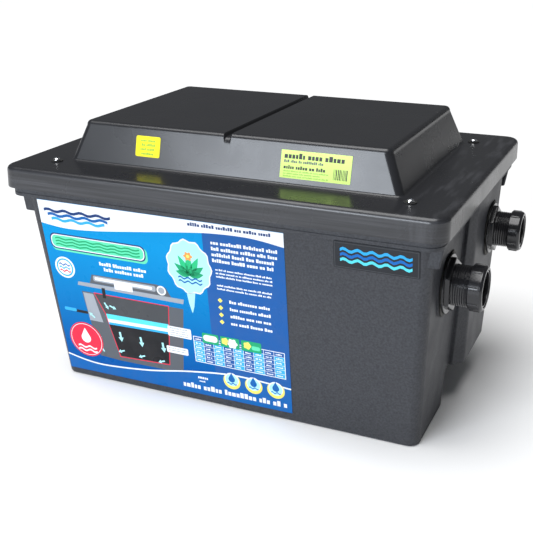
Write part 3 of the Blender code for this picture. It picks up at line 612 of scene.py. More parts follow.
def make_tank(looks):
    """Shell from its foot up outside and down again inside, then its seats, rim and lugs."""
    top = RIM_TOP - RIM_SKIN
    loops = [
        at_height(tank_lower(0.0, 0.003), 0.0), at_height(tank_lower(0.0009, 0.0009), 0.0009),
        at_height(tank_lower(0.003), 0.003), at_height(tank_lower(STEP_Z), STEP_Z),
        at_height(eased_shelf(0.0016), STEP_Z), at_height(eased_shelf(0.0005), STEP_Z + 0.0005),
        at_height(tank_upper(STEP_Z + 0.0016), STEP_Z + 0.0016)]
    loops += [at_height(tank_upper(z), z) for z in (0.15, 0.24, RIM_UNDERSIDE, top)]
    loops += [at_height(tank_upper(z, TANK_WALL), z) for z in (top, RIM_UNDERSIDE, STEP_Z + TANK_WALL)]
    loops += [at_height(tank_lower(z, TANK_WALL), z) for z in (STEP_Z + TANK_WALL, TANK_WALL)]
    shell = skin("tank_shell", loops, looks["tank_plastic"])
    for spec in (OUTLET, INLET):
        cut_seat(shell, spec)
    stand_for(shell, "tank")
    make_rim(looks)
    make_lugs(looks)


def disc_tool(spec, radius, start, end):
    rows = ((start, radius), (end, radius))
    return turned("tool", rows, even_angles(96), about_x(spec), None, ring=False)


def cut_seat(shell, spec):
    """Flat spot for the flange, with the hole for the tail and a spot face inside."""
    radius = spec["flange"] + LOBE_REACH + GAP
    combine(shell, disc_tool(spec, radius, -0.008, 0.0), "UNION")
    combine(shell, disc_tool(spec, radius, 0.0, 0.03))
    combine(shell, disc_tool(spec, spec["tail"] + TAIL_WALL + GAP, -0.06, 0.03))
    combine(shell, disc_tool(spec, radius, -0.06, -WALL_AT_SEAT))


def make_rim(looks):
    """Rim folded out and down over the top of the wall."""
    inner = rounded(shrink(wall_half(RIM_TOP), TANK_WALL), TANK_CORNER - TANK_WALL)
    top_inside = RIM_TOP - RIM_SKIN
    edge = 0.001
    bead = 0.0007                      # depth of the line pressed in over the lower edge
    sections = (                       # inset of the outline, inset of its corners, height
        (RIM_SKIN, RIM_SKIN, top_inside), (RIM_SKIN, RIM_SKIN, RIM_UNDERSIDE + 0.0005),
        (RIM_SKIN - 0.0005, RIM_SKIN, RIM_UNDERSIDE), (edge, edge, RIM_UNDERSIDE),
        (edge * 0.3, edge * 0.3, RIM_UNDERSIDE + edge * 0.3), (0.0, 0.0, RIM_UNDERSIDE + edge),
        (0.0, 0.0, RIM_UNDERSIDE + 0.0052), (bead, 0.0, RIM_UNDERSIDE + 0.0058),
        (bead, 0.0, RIM_UNDERSIDE + 0.0066), (0.0, 0.0, RIM_UNDERSIDE + 0.0072),
        (0.0, 0.0, RIM_TOP - edge), (edge, edge, RIM_TOP))
    loops = [at_height(inner, top_inside)]
    for inset, less, z in sections:
        loops.append(at_height(rounded(shrink(RIM_HALF, inset), RIM_CORNER - less), z))
    loops.append(at_height(inner, RIM_TOP))
    stand_for(skin("tank_rim", loops, looks["tank_plastic"], ring=True), "tank")


def make_lugs(looks):
    """Tapered gussets that hang from the rim on the end walls."""
    depth, width, height = LUG_SIZE
    outer = RIM_HALF[0] - 0.0015
    low = RIM_UNDERSIDE - height
    reach = (depth + 0.006) / 2        # half its depth, counted from inside the wall
    sections = ((low, outer - 0.0075, 0.0016), (low + 0.0006, outer - 0.0063, 0.0004),
                (low + 0.0018, outer - 0.0057, 0.0), (RIM_UNDERSIDE + 0.006, outer, 0.0))
    for k, (side_x, side_y) in enumerate(((-1, -1), (1, -1), (-1, 1), (1, 1))):
        loops = []
        for z, out, inset in sections:
            half = (reach - inset, width / 2 - inset)
            centre = (side_x * (out - reach), side_y * LUG_Y)
            outline = rounded(half, 0.0025 - inset, centre=centre, steps=4)
            loops.append(at_height(outline, z))
        stand_for(skin("tank_lug_%d" % (k + 1), loops, looks["tank_plastic"]), "tank")


# ---- lid

GROOVE_FLOOR = 0.66                # half the groove's flat floor, as a share of its half width
GROOVE_WALL = 0.44                 # width of each of its walls, the same way
GROOVE_FADE = (0.004, 0.009)       # start and length of its end on the dome's front and back
GROOVE_X = sorted(side * GROOVE_HALF_WIDTH * share for side in (-1, 1)
                  for share in (0.3, GROOVE_FLOOR, 0.78, 0.9, 1.0, 1.1, 1.25))


def groove_drop(x, below_top):
    """How far the groove lowers the dome at x, fading below the dome's top edge."""
    across = 1.0 - smooth_step((abs(x) / GROOVE_HALF_WIDTH - GROOVE_FLOOR) / GROOVE_WALL)
    down = 1.0 - smooth_step((below_top - GROOVE_FADE[0]) / GROOVE_FADE[1])
    return GROOVE_DEPTH * across * down


def lid_loop(half, corner, z, top=None):
    outline = rounded(half, corner, GROOVE_X)
    if top is None:
        return at_height(outline, z)
    return [(x, y, z - groove_drop(x, top - z)) for x, y in outline]


def lid_cap(bm, loop):
    """Flat cap, with strips across the groove."""
    corner = CORNER_STEPS + 1
    count = len(GROOVE_X)
    front = loop[corner:corner + count]
    back = list(reversed(loop[3 * corner + count:3 * corner + 2 * count]))
    for k in range(count - 1):
        bm.faces.new((front[k], front[k + 1], back[k + 1], back[k]))
    bm.faces.new(loop[corner + count - 1:3 * corner + count + 1])
    bm.faces.new(loop[3 * corner + 2 * count - 1:] + loop[:corner + 1])


def edge_rows(half, corner, z_top, radius, top=None, steps=6):
    """Loops round the top edge of a wall."""
    loops = []
    for k in range(steps + 1):
        a = radians(90 * k / steps)
        z = z_top - radius * (1 - sin(a))
        inset = radius * (1 - cos(a))
        loops.append(lid_loop(shrink(half, inset), corner - inset, z, top))
    return loops


def make_lid(looks):
    """One closed skin: inside from the dome's roof down to the skirt, outside back up."""
    roof = DOME_TOP - LID_SKIN
    under = FLANGE_Z - LID_SKIN
    loops = []
    for z in (roof, roof - 0.006, roof - 0.01, roof - 0.014, roof - 0.02, under + 0.004):
        loops.append(lid_loop(shrink(dome_half(z), LID_SKIN), DOME_CORNER - LID_SKIN, z, roof))
    loops.append(lid_loop(shrink(DOME_HALF_BASE, LID_SKIN), DOME_CORNER - LID_SKIN, under))
    loops.append(lid_loop(shrink(SKIRT_HALF_TOP, LID_SKIN), LID_CORNER - LID_SKIN, under))
    for inset, less, rise in ((LID_SKIN, LID_SKIN, 0.0008), (LID_SKIN - 0.0008, LID_SKIN, 0.0),
                              (0.0012, 0.0012, 0.0), (0.0003, 0.0003, 0.0003), (0.0, 0.0, 0.0012)):
        loops.append(lid_loop(shrink(SKIRT_HALF_LOW, inset), LID_CORNER - less, SKIRT_BOTTOM + rise))
    loops += edge_rows(SKIRT_HALF_TOP, LID_CORNER, FLANGE_Z, LID_EDGE)
    for k in range(5):
        a = radians(90 * k / 4)
        out = DOME_FOOT * (1 - sin(a))
        z = FLANGE_Z + DOME_FOOT * (1 - cos(a))
        loops.append(lid_loop(shrink(dome_half(z), -out), DOME_CORNER + out, z))
    for below in (0.016, 0.013, 0.01, 0.0075):
        z = DOME_TOP - below
        loops.append(lid_loop(dome_half(z), DOME_CORNER, z, DOME_TOP))
    loops += edge_rows(dome_half(DOME_TOP - DOME_EDGE), DOME_CORNER, DOME_TOP, DOME_EDGE, DOME_TOP)
    lid = skin("lid_shell", loops, looks["lid_plastic"], cap=lid_cap, angle=40)
    stand_for(lid, "lid_cover")


def hexagon_radius(corner, turn=0.0):
    """Radius of a hexagon as a function of the angle, with a corner at the turn."""
    def radius(a):
        off = (a - turn + pi / 6) % (pi / 3) - pi / 6
        flat = corner * cos(pi / 6) / cos(pi / 6 - abs(off))
        return min(flat, corner * 0.985)
    return radius


def make_screws(looks):
    """Button heads with a hexagon recess, each in a dished dark washer."""
    low = FLANGE_Z + GAP
    face = low + WASHER_THICK
    head = face + GAP
    socket = hexagon_radius(0.002)
    places = [(sx * SCREW_X, y) for y in (SCREW_FRONT_Y, SCREW_BACK_Y) for sx in (-1, 1)]
    for k, (x, y) in enumerate(places):
        tag = str(k + 1)
        nut_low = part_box("screw_nut_" + tag)[0].z
        dish = ((low, 0.0033), (low, 0.0088), (low + 0.0004, 0.009), (low + 0.001, 0.009),
                (face, 0.0087), (face, 0.0079), (low + 0.0006, 0.007), (low + 0.0005, 0.0033))
        washer = turned("lid_washer_" + tag, dish, even_angles(48), about_z(x, y), looks["dark_washer"])
        stand_for(washer, "screw_washer_" + tag)
        rows = [(nut_low - 0.003, 0.0024), (nut_low - 0.002, 0.0029), (head, 0.0029),
                (head, 0.0052), (head + 0.0003, 0.0055)]
        for step in range(7):
            a = radians(12 + 66 * step / 6)
            rows.append((head + 0.0003 + 0.0033 * sin(a), 0.0055 * cos(a) ** 0.8))
        rows += [(head + 0.0036, 0.0023), (head + 0.0035, socket), (head + 0.0018, socket)]
        screw = turned("lid_screw_head_" + tag, rows, even_angles(48), about_z(x, y), looks["chrome"],
                       ring=False)
        stand_for(screw, "lid_screw_" + tag)


# ---- connectors

def thread_rows(start, end, crest, depth, spacing=0.0004):
    """Rows of a right-handed thread that fades out at both ends."""
    count = round((end - start) / spacing)
    rows = []
    for k in range(count + 1):
        height = start + (end - start) * k / count
        fade = min(1.0, (height - start) / 0.002, (end - height) / 0.002)

        def radius(a, height=height, fade=fade):
            phase = height / THREAD_PITCH + a / (2 * pi)
            return crest - depth * (0.5 + 0.5 * cos(2 * pi * phase)) * fade
        rows.append((height, radius))
    return rows


def rib_angles():
    """Angles round the union nut, close together at the flanks of its ribs."""
    pairs = []
    share = 2 * pi / NUT_GRIPS
    half = NUT_RIB_WIDTH / 2 / OUTLET["nut"]
    start = radians(-90.0 + GRIP_START)
    for k in range(NUT_GRIPS):
        centre = start + share * k
        for off, height in ((-half - 0.012, 0.0), (-half, 0.75), (-half + 0.014, 1.0), (0.0, 1.0),
                            (half - 0.014, 1.0), (half, 0.75), (half + 0.012, 0.0)):
            pairs.append((centre + off, height))
        plain = share - 2 * half - 0.024
        for step in range(1, 12):
            pairs.append((centre + half + 0.012 + plain * step / 12, 0.0))
    return pairs


def shifted(radius, amount):
    return lambda a: radius(a) - amount


def make_tail(prefix, spec, material, tail_end):
    """Tail that passes through the wall: thread, flange, hexagon, thread."""
    bore, thread, flange = spec["tail"], spec["thread"], spec["flange"]
    shank = bore + TAIL_WALL
    collar = hexagon_radius(spec["hexagon"], pi / 2)
    rows = [(TAIL_INNER_END, shank - 0.001)]
    rows += thread_rows(TAIL_INNER_END + 0.001, 0.002, shank, 0.0008, 0.0008)
    rows += [(0.0027, shank), (0.0027, flange - 0.0005), (0.0031, flange), (0.0044, flange),
             (0.005, flange - 0.0003), (0.0052, flange - 0.001), (0.0052, shifted(collar, -0.0004)),
             (0.0056, collar), (HEXAGON_END - 0.0014, collar),
             (HEXAGON_END - 0.0004, shifted(collar, 0.0008)), (HEXAGON_END, shifted(collar, 0.0018)),
             (HEXAGON_END, thread + 0.0006), (HEXAGON_END + 0.0004, thread)]
    rows += thread_rows(HEXAGON_END + 0.0008, tail_end - 0.0006, thread, 0.001)
    rows += [(tail_end, thread - 0.001), (tail_end, bore + 0.0008), (tail_end - 0.0008, bore),
             (TAIL_INNER_END, bore)]
    tail = turned(prefix + "_threaded_tail", rows, even_angles(), about_x(spec), material, angle=50)
    stand_for(tail, prefix + "_tail")


def make_union_nut(prefix, spec, material, start, end):
    """Ribbed nut with a lip that holds the liner."""
    inner = spec["thread"] + GAP
    mouth = spec["thread"] - 0.003
    barrel = spec["nut"] - NUT_RIB_HEIGHT
    pairs = rib_angles()
    heights = dict(pairs)

    def ribbed(share):
        return lambda a: barrel + NUT_RIB_HEIGHT * heights[a] * share
    rows = [(start, inner), (start, barrel - 0.0009), (start + 0.0003, barrel - 0.0003),
            (start + 0.0008, barrel), (start + 0.001, ribbed(0.6)), (start + 0.0016, ribbed(1.0)),
            (end - 0.0056, ribbed(1.0)), (end - 0.0048, ribbed(0.7)), (end - 0.0044, barrel),
            (end - 0.0032, barrel), (end - 0.0022, barrel - 0.0005), (end - 0.0008, barrel - 0.0017),
            (end - 0.0002, barrel - 0.0023), (end, barrel - 0.0029), (end, mouth + 0.0006),
            (end - 0.0002, mouth + 0.0002), (end - 0.0008, mouth), (end - NUT_LIP, mouth),
            (end - NUT_LIP, inner)]
    nut = turned(prefix + "_ribbed_nut", rows, [a for a, _ in pairs], about_x(spec), material)
    stand_for(nut, prefix + "_union_nut")


def make_liner(prefix, spec, material, tail_end, nut_end):
    """Ring with a rim behind the nut's lip and a sleeve in its mouth."""
    low = tail_end + 2 * GAP + SEAL_SPACE
    high = nut_end - NUT_LIP - GAP
    inside = spec["tail"] + 0.0005
    rim = spec["thread"] - 0.0005
    sleeve = spec["thread"] - 0.0035
    end = nut_end - 0.0012
    rows = ((low, inside), (low, rim - 0.0003), (low + 0.0003, rim), (high, rim), (high, sleeve),
            (end - 0.0006, sleeve), (end - 0.0002, sleeve - 0.0002), (end, sleeve - 0.0008),
            (end, inside + 0.0008), (end - 0.0003, inside + 0.0002), (end - 0.001, inside))
    liner = turned(prefix + "_smooth_liner", rows, even_angles(128), about_x(spec), material)
    stand_for(liner, prefix + "_liner")


def make_gasket(prefix, spec, material):
    """Rubber gasket whose two lobes show past the flange."""
    disc = spec["flange"] - 0.003
    reach = spec["flange"] + LOBE_REACH - LOBE_RADIUS
    hole = spec["tail"] + TAIL_WALL + GAP

    def outline(inset):
        def radius(a):
            best = disc
            for turn in (GASKET_TURN, GASKET_TURN + 180.0):
                off = a - radians(turn)
                side = reach * sin(off)
                if abs(side) < LOBE_RADIUS:
                    best = max(best, reach * cos(off) + sqrt(LOBE_RADIUS ** 2 - side ** 2))
            return best - inset
        return radius
    rows = ((GAP, hole), (GAP, outline(0.0005)), (0.0006, outline(0.0001)), (0.001, outline(0.0)),
            (0.0018, outline(0.0)), (0.0022, outline(0.0001)), (GASKET_THICK, outline(0.0005)),
            (GASKET_THICK, hole))
    gasket = turned(prefix + "_lobed_gasket", rows, even_angles(), about_x(spec), material)
    stand_for(gasket, prefix + "_gasket")


def make_connector(prefix, spec, looks):
    nut_start = HEXAGON_END + spec["nut_gap"]
    nut_end = nut_start + spec["nut_length"]
    tail_end = nut_end - NUT_LIP - TAIL_SHORT_OF_LIP
    fitting = looks["fitting_plastic"]
    make_tail(prefix, spec, fitting, tail_end)
    make_union_nut(prefix, spec, fitting, nut_start, nut_end)
    make_liner(prefix, spec, fitting, tail_end, nut_end)
    make_gasket(prefix, spec, looks["seal_rubber"])


# ---- foam and media

def chamber_outline(z, inset):
    t = (z - CONTAINER_FLOOR) / (CONTAINER_TOP - CONTAINER_FLOOR)
    left = mix(CONTAINER_LEFT, t) + inset
    right = CONTAINER_RIGHT - inset
    half = ((right - left) / 2, mix(CONTAINER_HALF_Y, t) - inset)
    return rounded(half, FOAM_CORNER, centre=((left + right) / 2, 0.0), steps=5)


def towards_middle(outline, share):
    cx = (CONTAINER_LEFT[0] + CONTAINER_RIGHT) / 2
    return [(cx + (x - cx) * share, y * share) for x, y in outline]


def make_foam(node, material, pile):
    """Foam sheet with soft edges, sides drawn in, and an uneven top."""
    low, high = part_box(node)
    z0, z1 = low.z, high.z
    side = CONTAINER_SKIN + FOAM_CLEARANCE
    soft = FOAM_EDGE
    loops = []
    for share in (0.25, 0.6, 0.9):
        loops.append(at_height(towards_middle(chamber_outline(z0, side + soft), share), z0))
    for z, inset in ((z0, soft), (z0 + 0.001, 0.001), (z0 + soft, 0.0), ((z0 + z1) / 2, 0.0016),
                     (z1 - soft, 0.0), (z1 - 0.001, 0.001)):
        loops.append(at_height(chamber_outline(z, side + inset), z))
    for share in (1.0, 0.97, 0.9, 0.8, 0.7, 0.6, 0.5, 0.4, 0.3, 0.2, 0.1):
        loop = []
        for x, y in towards_middle(chamber_outline(z1, side + soft), share):
            dip = pile * (0.5 + 0.5 * noise.noise(Vector((x * 38, y * 38, z1 * 10))))
            loop.append((x, y, z1 - dip))
        loops.append(loop)
    sheet = skin(node + "_sheet", loops, material, angle=60)
    stand_for(sheet, node)


def make_bag(node, material):
    """Net bag that bulges over its loose media and draws in at its ends."""
    low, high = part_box(node)
    middle = (low + high) / 2
    half = (high - low) / 2
    columns, rows = 72, 30
    loops = []
    for r in range(1, rows):
        v = pi * (r / rows - 0.5)
        loop = []
        for c in range(columns):
            u = 2 * pi * c / columns
            direction = (power(cos(v), 0.35) * power(cos(u), 0.45),
                         power(cos(v), 0.35) * power(sin(u), 0.45), power(sin(v), 0.6))
            place = Vector([m + h * 0.985 * d for m, h, d in zip(middle, half, direction)])
            lump = 0.0022 * noise.noise(place * 70)
            place -= Vector(direction).normalized() * (0.0025 + lump)
            loop.append(tuple(place))
        loops.append(loop)
    bag = skin(node + "_net", loops, material, angle=80)
    stand_for(bag, node)


def power(value, exponent):
    return copysign(abs(value) ** exponent, value)


def make_soft_parts(looks):
    make_foam("foam_coarse", looks["foam_blue"], 0.002)
    make_foam("foam_medium", looks["foam_cream"], 0.0012)
    make_foam("foam_fine", looks["foam_teal"], 0.001)
    for side in ("left", "right"):
        make_bag("bio_media_bag_" + side, looks["media_net"])


# ---- print

class Print:
    """Film on a sloping wall and the shapes printed on it, in millimetres along x and z."""

    def __init__(self, name, half_at, film=FILM):
        slope = atan2(half_at(0.1)[1] - half_at(0.0)[1], 0.1)
        self.name = name
        self.wall_y = lambda z: -half_at(z)[1]
        self.normal = Vector((0.0, -cos(slope), -sin(slope)))
        self.face = GAP + film
        self.bm = bmesh.new()
        self.materials = []

    def place(self, x, z, lift):
        x, z = x / 1000, z / 1000
        return Vector((x, self.wall_y(z), z)) + self.normal * lift

    def shape(self, points, key, layer):
        """Closed thin plate with the given outline. Layer 0 is the film, and each other layer is an ink."""
        if key not in self.materials:
            self.materials.append(key)
        bottom = self.face - INK if layer else GAP
        lows = [self.bm.verts.new(self.place(x, z, bottom)) for x, z in points]
        highs = [self.bm.verts.new(self.place(x, z, self.face + layer * INK)) for x, z in points]
        faces = [self.bm.faces.new(highs), self.bm.faces.new(list(reversed(lows)))]
        for i in range(len(points)):
            j = (i + 1) % len(points)
            faces.append(self.bm.faces.new((lows[i], lows[j], highs[j], highs[i])))
        for face in faces:
            face.material_index = self.materials.index(key)

    def box(self, x0, x1, z0, z1, key, layer, corner=0.0):
        if corner:
            centre = ((x0 + x1) / 2, (z0 + z1) / 2)
            outline = rounded(((x1 - x0) / 2, (z1 - z0) / 2), corner, centre=centre, steps=5)
        else:
            outline = [(x0, z0), (x1, z0), (x1, z1), (x0, z1)]
        self.shape(outline, key, layer)

    def disc(self, x, z, radius, key, layer, waves=0, ripple=0.0, tall=1.0):
        outline = []
        for a in even_angles(48):
            r = radius * (1 + ripple * cos(waves * a))
            outline.append((x + r * cos(a), z + r * tall * sin(a)))
        self.shape(outline, key, layer)

    def band(self, centre_line, width, key, layer):
        """Strip of the given width along a line."""
        upper = [(x, z + width / 2) for x, z in centre_line]
        lower = [(x, z - width / 2) for x, z in centre_line]
        self.shape(lower + list(reversed(upper)), key, layer)

    def wave(self, x0, x1, z, height, period, width, key, layer):
        places = [x0 + (x1 - x0) * k / 24 for k in range(25)]
        line = [(x, z + height * sin(2 * pi * (x - x0) / period)) for x in places]
        self.band(line, width, key, layer)

    def dashes(self, x0, x1, z, height, key, layer, seed):
        """Plain blocks in word-like groups, in place of a line of print."""
        draw = random.Random(seed)
        x = x0
        while x < x1 - height:
            for _ in range(draw.randint(2, 8)):
                wide = height * draw.uniform(0.42, 0.72)
                if x + wide > x1:
                    break
                tall = height * draw.choice((0.72, 0.72, 1.0))
                self.box(x, x + wide, z, z + tall, key, layer)
                x += wide + height * 0.16
            x += height * 0.45

    def lines(self, count, x0, x1, z, pitch, height, key, layer, seed):
        for k in range(count):
            self.dashes(x0, x1, z - pitch * k, height, key, layer, seed + k)

    def leaf(self, x, z, length, width, turn, key, layer):
        outline = []
        a = radians(turn)
        for side in (1, -1):
            for k in range(9):
                s = k / 8 if side > 0 else 1 - k / 8
                off = side * width / 2 * sin(pi * s ** 0.8)
                outline.append((x + length * s * cos(a) - off * sin(a),
                                z + length * s * sin(a) + off * cos(a)))
        self.shape(outline[:-1], key, layer)

    def drop(self, x, z, radius, key, layer):
        """Water drop with its point up."""
        outline = [(x, z + radius * 2.1)]
        for k in range(21):
            a = radians(150 + 240 * k / 20)
            outline.append((x + radius * cos(a), z + radius * sin(a)))
        self.shape(outline, key, layer)

    def arrow(self, x, z, length, turn, key, layer):
        a = radians(turn)
        parts = ((0, 0.1), (0.55, 0.1), (0.55, 0.26), (1, 0), (0.55, -0.26), (0.55, -0.1), (0, -0.1))
        outline = [(x + length * (u * cos(a) - v * sin(a)),
                    z + length * (u * sin(a) + v * cos(a))) for u, v in parts]
        self.shape(outline, key, layer)

    def finish(self, node, looks):
        mesh = bpy.data.meshes.new(self.name)
        bmesh.ops.recalc_face_normals(self.bm, faces=self.bm.faces)
        self.bm.to_mesh(mesh)
        self.bm.free()
        obj = link(self.name, mesh, *[looks[key] for key in self.materials])
        stand_for(obj, node)


def through(points, steps=8):
    """Smooth line through the given points."""
    line = []
    ends = [points[0]] + list(points) + [points[-1]]
    for k in range(1, len(ends) - 2):
        p0, p1, p2, p3 = (Vector(p) for p in ends[k - 1:k + 3])
        for s in range(steps):
            t = s / steps
            point = 0.5 * (2 * p1 + (p2 - p0) * t + (2 * p0 - 5 * p1 + 4 * p2 - p3) * t ** 2
                           + (3 * p1 - p0 - 3 * p2 + p3) * t ** 3)
            line.append(tuple(point))
    line.append(tuple(points[-1]))
    return line


def make_front_label(looks):
    sheet = Print("front_label_print", wall_half)
    sheet.shape([(-293.5, 11.5), (110.5, 14.5), (112.0, 315.0), (-301.0, 315.0)], "label_print", 0)
    print_grounds(sheet)
    print_heading(sheet)
    print_cutaway(sheet)
    print_plant(sheet, -43.0, 238.0)
    print_column(sheet)
    print_table(sheet)
    print_footer(sheet)
    sheet.finish("front_label", looks)


def print_grounds(sheet):
    """Text column, white header and the dark foot under a white line."""
    sheet.shape([(-16, 62), (110.8, 62), (111.8, 310), (-16, 310)], "column", 1)
    header = through([(-300.1, 276), (-255, 271.5), (-200, 274.5), (-130, 283), (-60, 292), (0, 298.5),
                      (60, 299.5), (111.9, 292.5)])
    sheet.shape(header + [(111.95, 314.6), (-300.9, 314.6)], "white", 3)
    stripe = through([(-294.3, 38.5), (-255, 31), (-214, 30), (-137, 38), (-60, 52.5), (20, 62),
                      (110.7, 58)])
    sheet.shape(stripe + [(110.5, 15.0), (-293.6, 12.0)], "deep", 2)
    sheet.band(stripe, 2.6, "white", 3)


def print_heading(sheet):
    """Wave mark, a banner and plain dashes where the lettering would be."""
    for k, key in enumerate(("navy", "deep", "sky")):
        sheet.wave(-291 + 6 * k, -170 - 6 * k, 299 - 7.0 * k, 1.8, 30.0, 4.6, key, 4)
    sheet.dashes(-38, 98, 306.0, 5.4, "navy", 4, 11)
    sheet.box(-287, -113, 231, 258, "mint", 1, corner=9)
    sheet.box(-289, -116, 234, 261, "navy", 2, corner=10)
    sheet.box(-287, -118, 236, 259, "white", 3, corner=9)
    sheet.box(-285.5, -119.5, 237.5, 257.5, "mint", 4, corner=8)
    for k in range(3):
        sheet.wave(-279, -126, 252.4 - 5.2 * k, 1.3, 25.0, 2.6, "green", 5)
    sheet.dashes(-203, -112, 216, 6.0, "white", 1, 12)
    sheet.dashes(-196, -122, 207, 6.0, "white", 1, 13)
    for radius, key, layer in ((18.5, "white", 2), (15.5, "sky", 3), (13.0, "white", 4)):
        sheet.disc(-270, 202, radius, key, layer)
    for k in range(3):
        sheet.wave(-280, -260, 207 - 5.5 * k, 1.4, 10.0, 2.4, ("deep", "sky", "red")[k], 5)


def print_cutaway(sheet):
    """Plain section through a box filter: lid, chamber, foam bands, media and flow arrows."""
    sheet.shape([(-251, 174), (-60, 173), (-58, 181), (-249, 180.5)], "light", 1)
    sheet.shape([(-227, 181), (-221, 197), (-104, 199), (-88, 196), (-80, 181)], "grey", 2)
    sheet.box(-219, -106, 186, 196, "light", 3, corner=3)
    sheet.box(-216, -112, 188.5, 193.5, "white", 4, corner=2)
    sheet.disc(-96, 190, 8.0, "white", 4)
    sheet.disc(-96, 190, 5.6, "light", 5)
    sheet.box(-181, -148, 178, 191, "white", 5, corner=1)
    sheet.shape([(-245, 164), (-229, 47), (-190, 45), (-74, 46), (-61, 164)], "grey", 1)
    sheet.shape([(-243, 162), (-238, 112), (-213, 112), (-224, 162)], "light", 2)
    sheet.shape([(-223, 165), (-86, 165), (-97, 56), (-190, 52), (-207, 130)], "red", 2)
    sheet.shape([(-221, 163.6), (-87.4, 163.6), (-98.2, 57.6), (-188.8, 53.6), (-205.4, 130)], "edge", 3)
    sheet.shape([(-205, 130), (-90.8, 132), (-91.8, 124), (-203.6, 121)], "cyan", 4)
    sheet.shape([(-203.6, 121), (-91.8, 124), (-92.4, 118), (-202.6, 115)], "white", 4)
    sheet.shape([(-202.6, 115), (-92.4, 118), (-92.8, 114), (-202, 111)], "sky", 4)
    sheet.shape([(-202, 111), (-92.8, 114), (-98.0, 58.4), (-188.6, 54.4)], "black", 4)
    for x, z, length, turn, layer in (
            (-184, 100, 18, -85, 5), (-146, 98, 18, -85, 5), (-106, 96, 18, -85, 5), (-180, 66, 13, 200, 5),
            (-142, 64, 13, 200, 5), (-106, 62, 13, 200, 5), (-205, 150, 13, -60, 5), (-196, 146, 13, -20, 5),
            (-224, 76, 13, 95, 3), (-220, 56, 13, 120, 3), (-228, 118, 13, 140, 3)):
        sheet.arrow(x, z, length, turn, "pale", layer)
    sheet.box(-206, -200, 158, 176, "black", 4)
    sheet.box(-284, -240, 122.5, 127.5, "black", 2, corner=2)
    sheet.box(-285, -262, 123, 129, "sky", 3, corner=2)
    for x0, x1, z0, z1 in ((-93, -52, 112, 130), (-99, -61, 81, 93)):
        sheet.box(x0, x1, z0, z1, "white", 6, corner=2)
        z = z1 - 4
        while z > z0 + 1.5:
            sheet.dashes(x0 + 4, x1 - 4, z, 1.8, "light", 7, round(z))
            z -= 4
    for radius, key, layer in ((32.0, "red", 6), (29.6, "white", 7), (28.6, "red", 8)):
        sheet.disc(-252, 73, radius, key, layer)
    sheet.drop(-252, 76, 9.0, "white", 9)
    for k in range(2):
        sheet.wave(-270, -234, 59 - 6.5 * k, 1.7, 18.0, 3.0, "white", 9)


def print_plant(sheet, x, z):
    """Pond plant in a pale scalloped bubble."""
    sheet.disc(x, z, 37.0, "white", 4, waves=11, ripple=0.045, tall=1.2)
    sheet.disc(x, z, 35.0, "pale", 5, waves=11, ripple=0.045, tall=1.2)
    for turn, length in ((90, 38), (62, 36), (118, 36), (36, 30), (144, 30), (12, 24), (168, 24)):
        sheet.leaf(x, z - 14, length, 11, turn, "leaf" if turn % 4 else "green", 6)
    sheet.disc(x, z + 18, 6.5, "orange", 7, waves=6, ripple=0.18)
    sheet.disc(x, z + 18, 2.6, "yellow", 8)
    for k in range(2):
        sheet.wave(x - 20, x + 20, z - 19 - 6 * k, 1.6, 13.0, 2.6, "deep", 7)
    tail = ((-9, -40), (6, -42), (2, -66), (-2, -78), (-6, -62))
    sheet.shape([(x + dx, z + dz) for dx, dz in tail], "pale", 4)


def print_column(sheet):
    """Lines of plain dashes over four bulleted ones."""
    sheet.lines(4, -3, 102, 281.5, 9.4, 5.6, "white", 2, 21)
    sheet.lines(3, 1, 92, 240, 5.6, 3.0, "white", 2, 31)
    sheet.lines(2, 1, 92, 214.5, 5.6, 3.0, "white", 2, 41)
    for k in range(4):
        z = 191 - 12.2 * k
        sheet.shape([(0, z), (4, z - 4), (8, z), (4, z + 4)], "yellow", 2)
        sheet.dashes(19, 88, z - 2.6, 5.2, "white", 2, 51 + k)


def print_table(sheet):
    """Plain ruled table with pale columns and small coloured panels over it."""
    sheet.box(-49, 103.5, 74, 120, "white", 2)
    left, right, low, high = -48.2, 102.7, 74.8, 119.2
    columns, rows = 9, 6
    wide = (right - left) / columns
    tall = (high - low) / rows
    for c in range(columns):
        for r in range(rows):
            x = left + wide * c
            z = low + tall * r
            pale = c % 2 == 0 and r < rows - 1
            sheet.box(x + 0.35, x + wide - 0.35, z + 0.35, z + tall - 0.35, "sky" if pale else "column", 3)
            sheet.dashes(x + 3, x + wide - 3, z + 2.4, 2.6, "white", 4, 100 + c * rows + r)
    for x0, x1 in ((-33, -5), (-2, 30), (33, 66)):
        sheet.box(x0, x1, 111, 129, "green", 5, corner=2)
    sheet.box(-31, -7, 115, 126, "white", 6, corner=5)
    sheet.disc(6, 121, 6.0, "yellow", 6, waves=5, ripple=0.1)
    sheet.disc(18, 119, 8.0, "white", 6, waves=6, ripple=0.12)
    sheet.disc(43, 121, 6.0, "yellow", 6, waves=5, ripple=0.1)
    sheet.box(50, 64, 115, 122, "mint", 6, corner=3)


def print_footer(sheet):
    """Line of dashes at the foot, under three round marks with a drop."""
    sheet.dashes(-76, 108, 22.5, 9.4, "white", 4, 61)
    sheet.dashes(-48, -28, 43, 5.0, "white", 4, 62)
    sheet.dashes(-46, -32, 37, 3.0, "white", 4, 63)
    for x in (11.5, 48.5, 85.5):
        sheet.disc(x, 50.5, 14.5, "yellow", 5)
        sheet.disc(x, 53.5, 12.0, "white", 6)
        sheet.disc(x, 52.5, 10.5, "pale", 7)
        sheet.drop(x, 54.0, 5.6, "deep", 8)
        sheet.wave(x - 8, x + 8, 46.0, 1.2, 8.0, 2.0, "blue", 8)


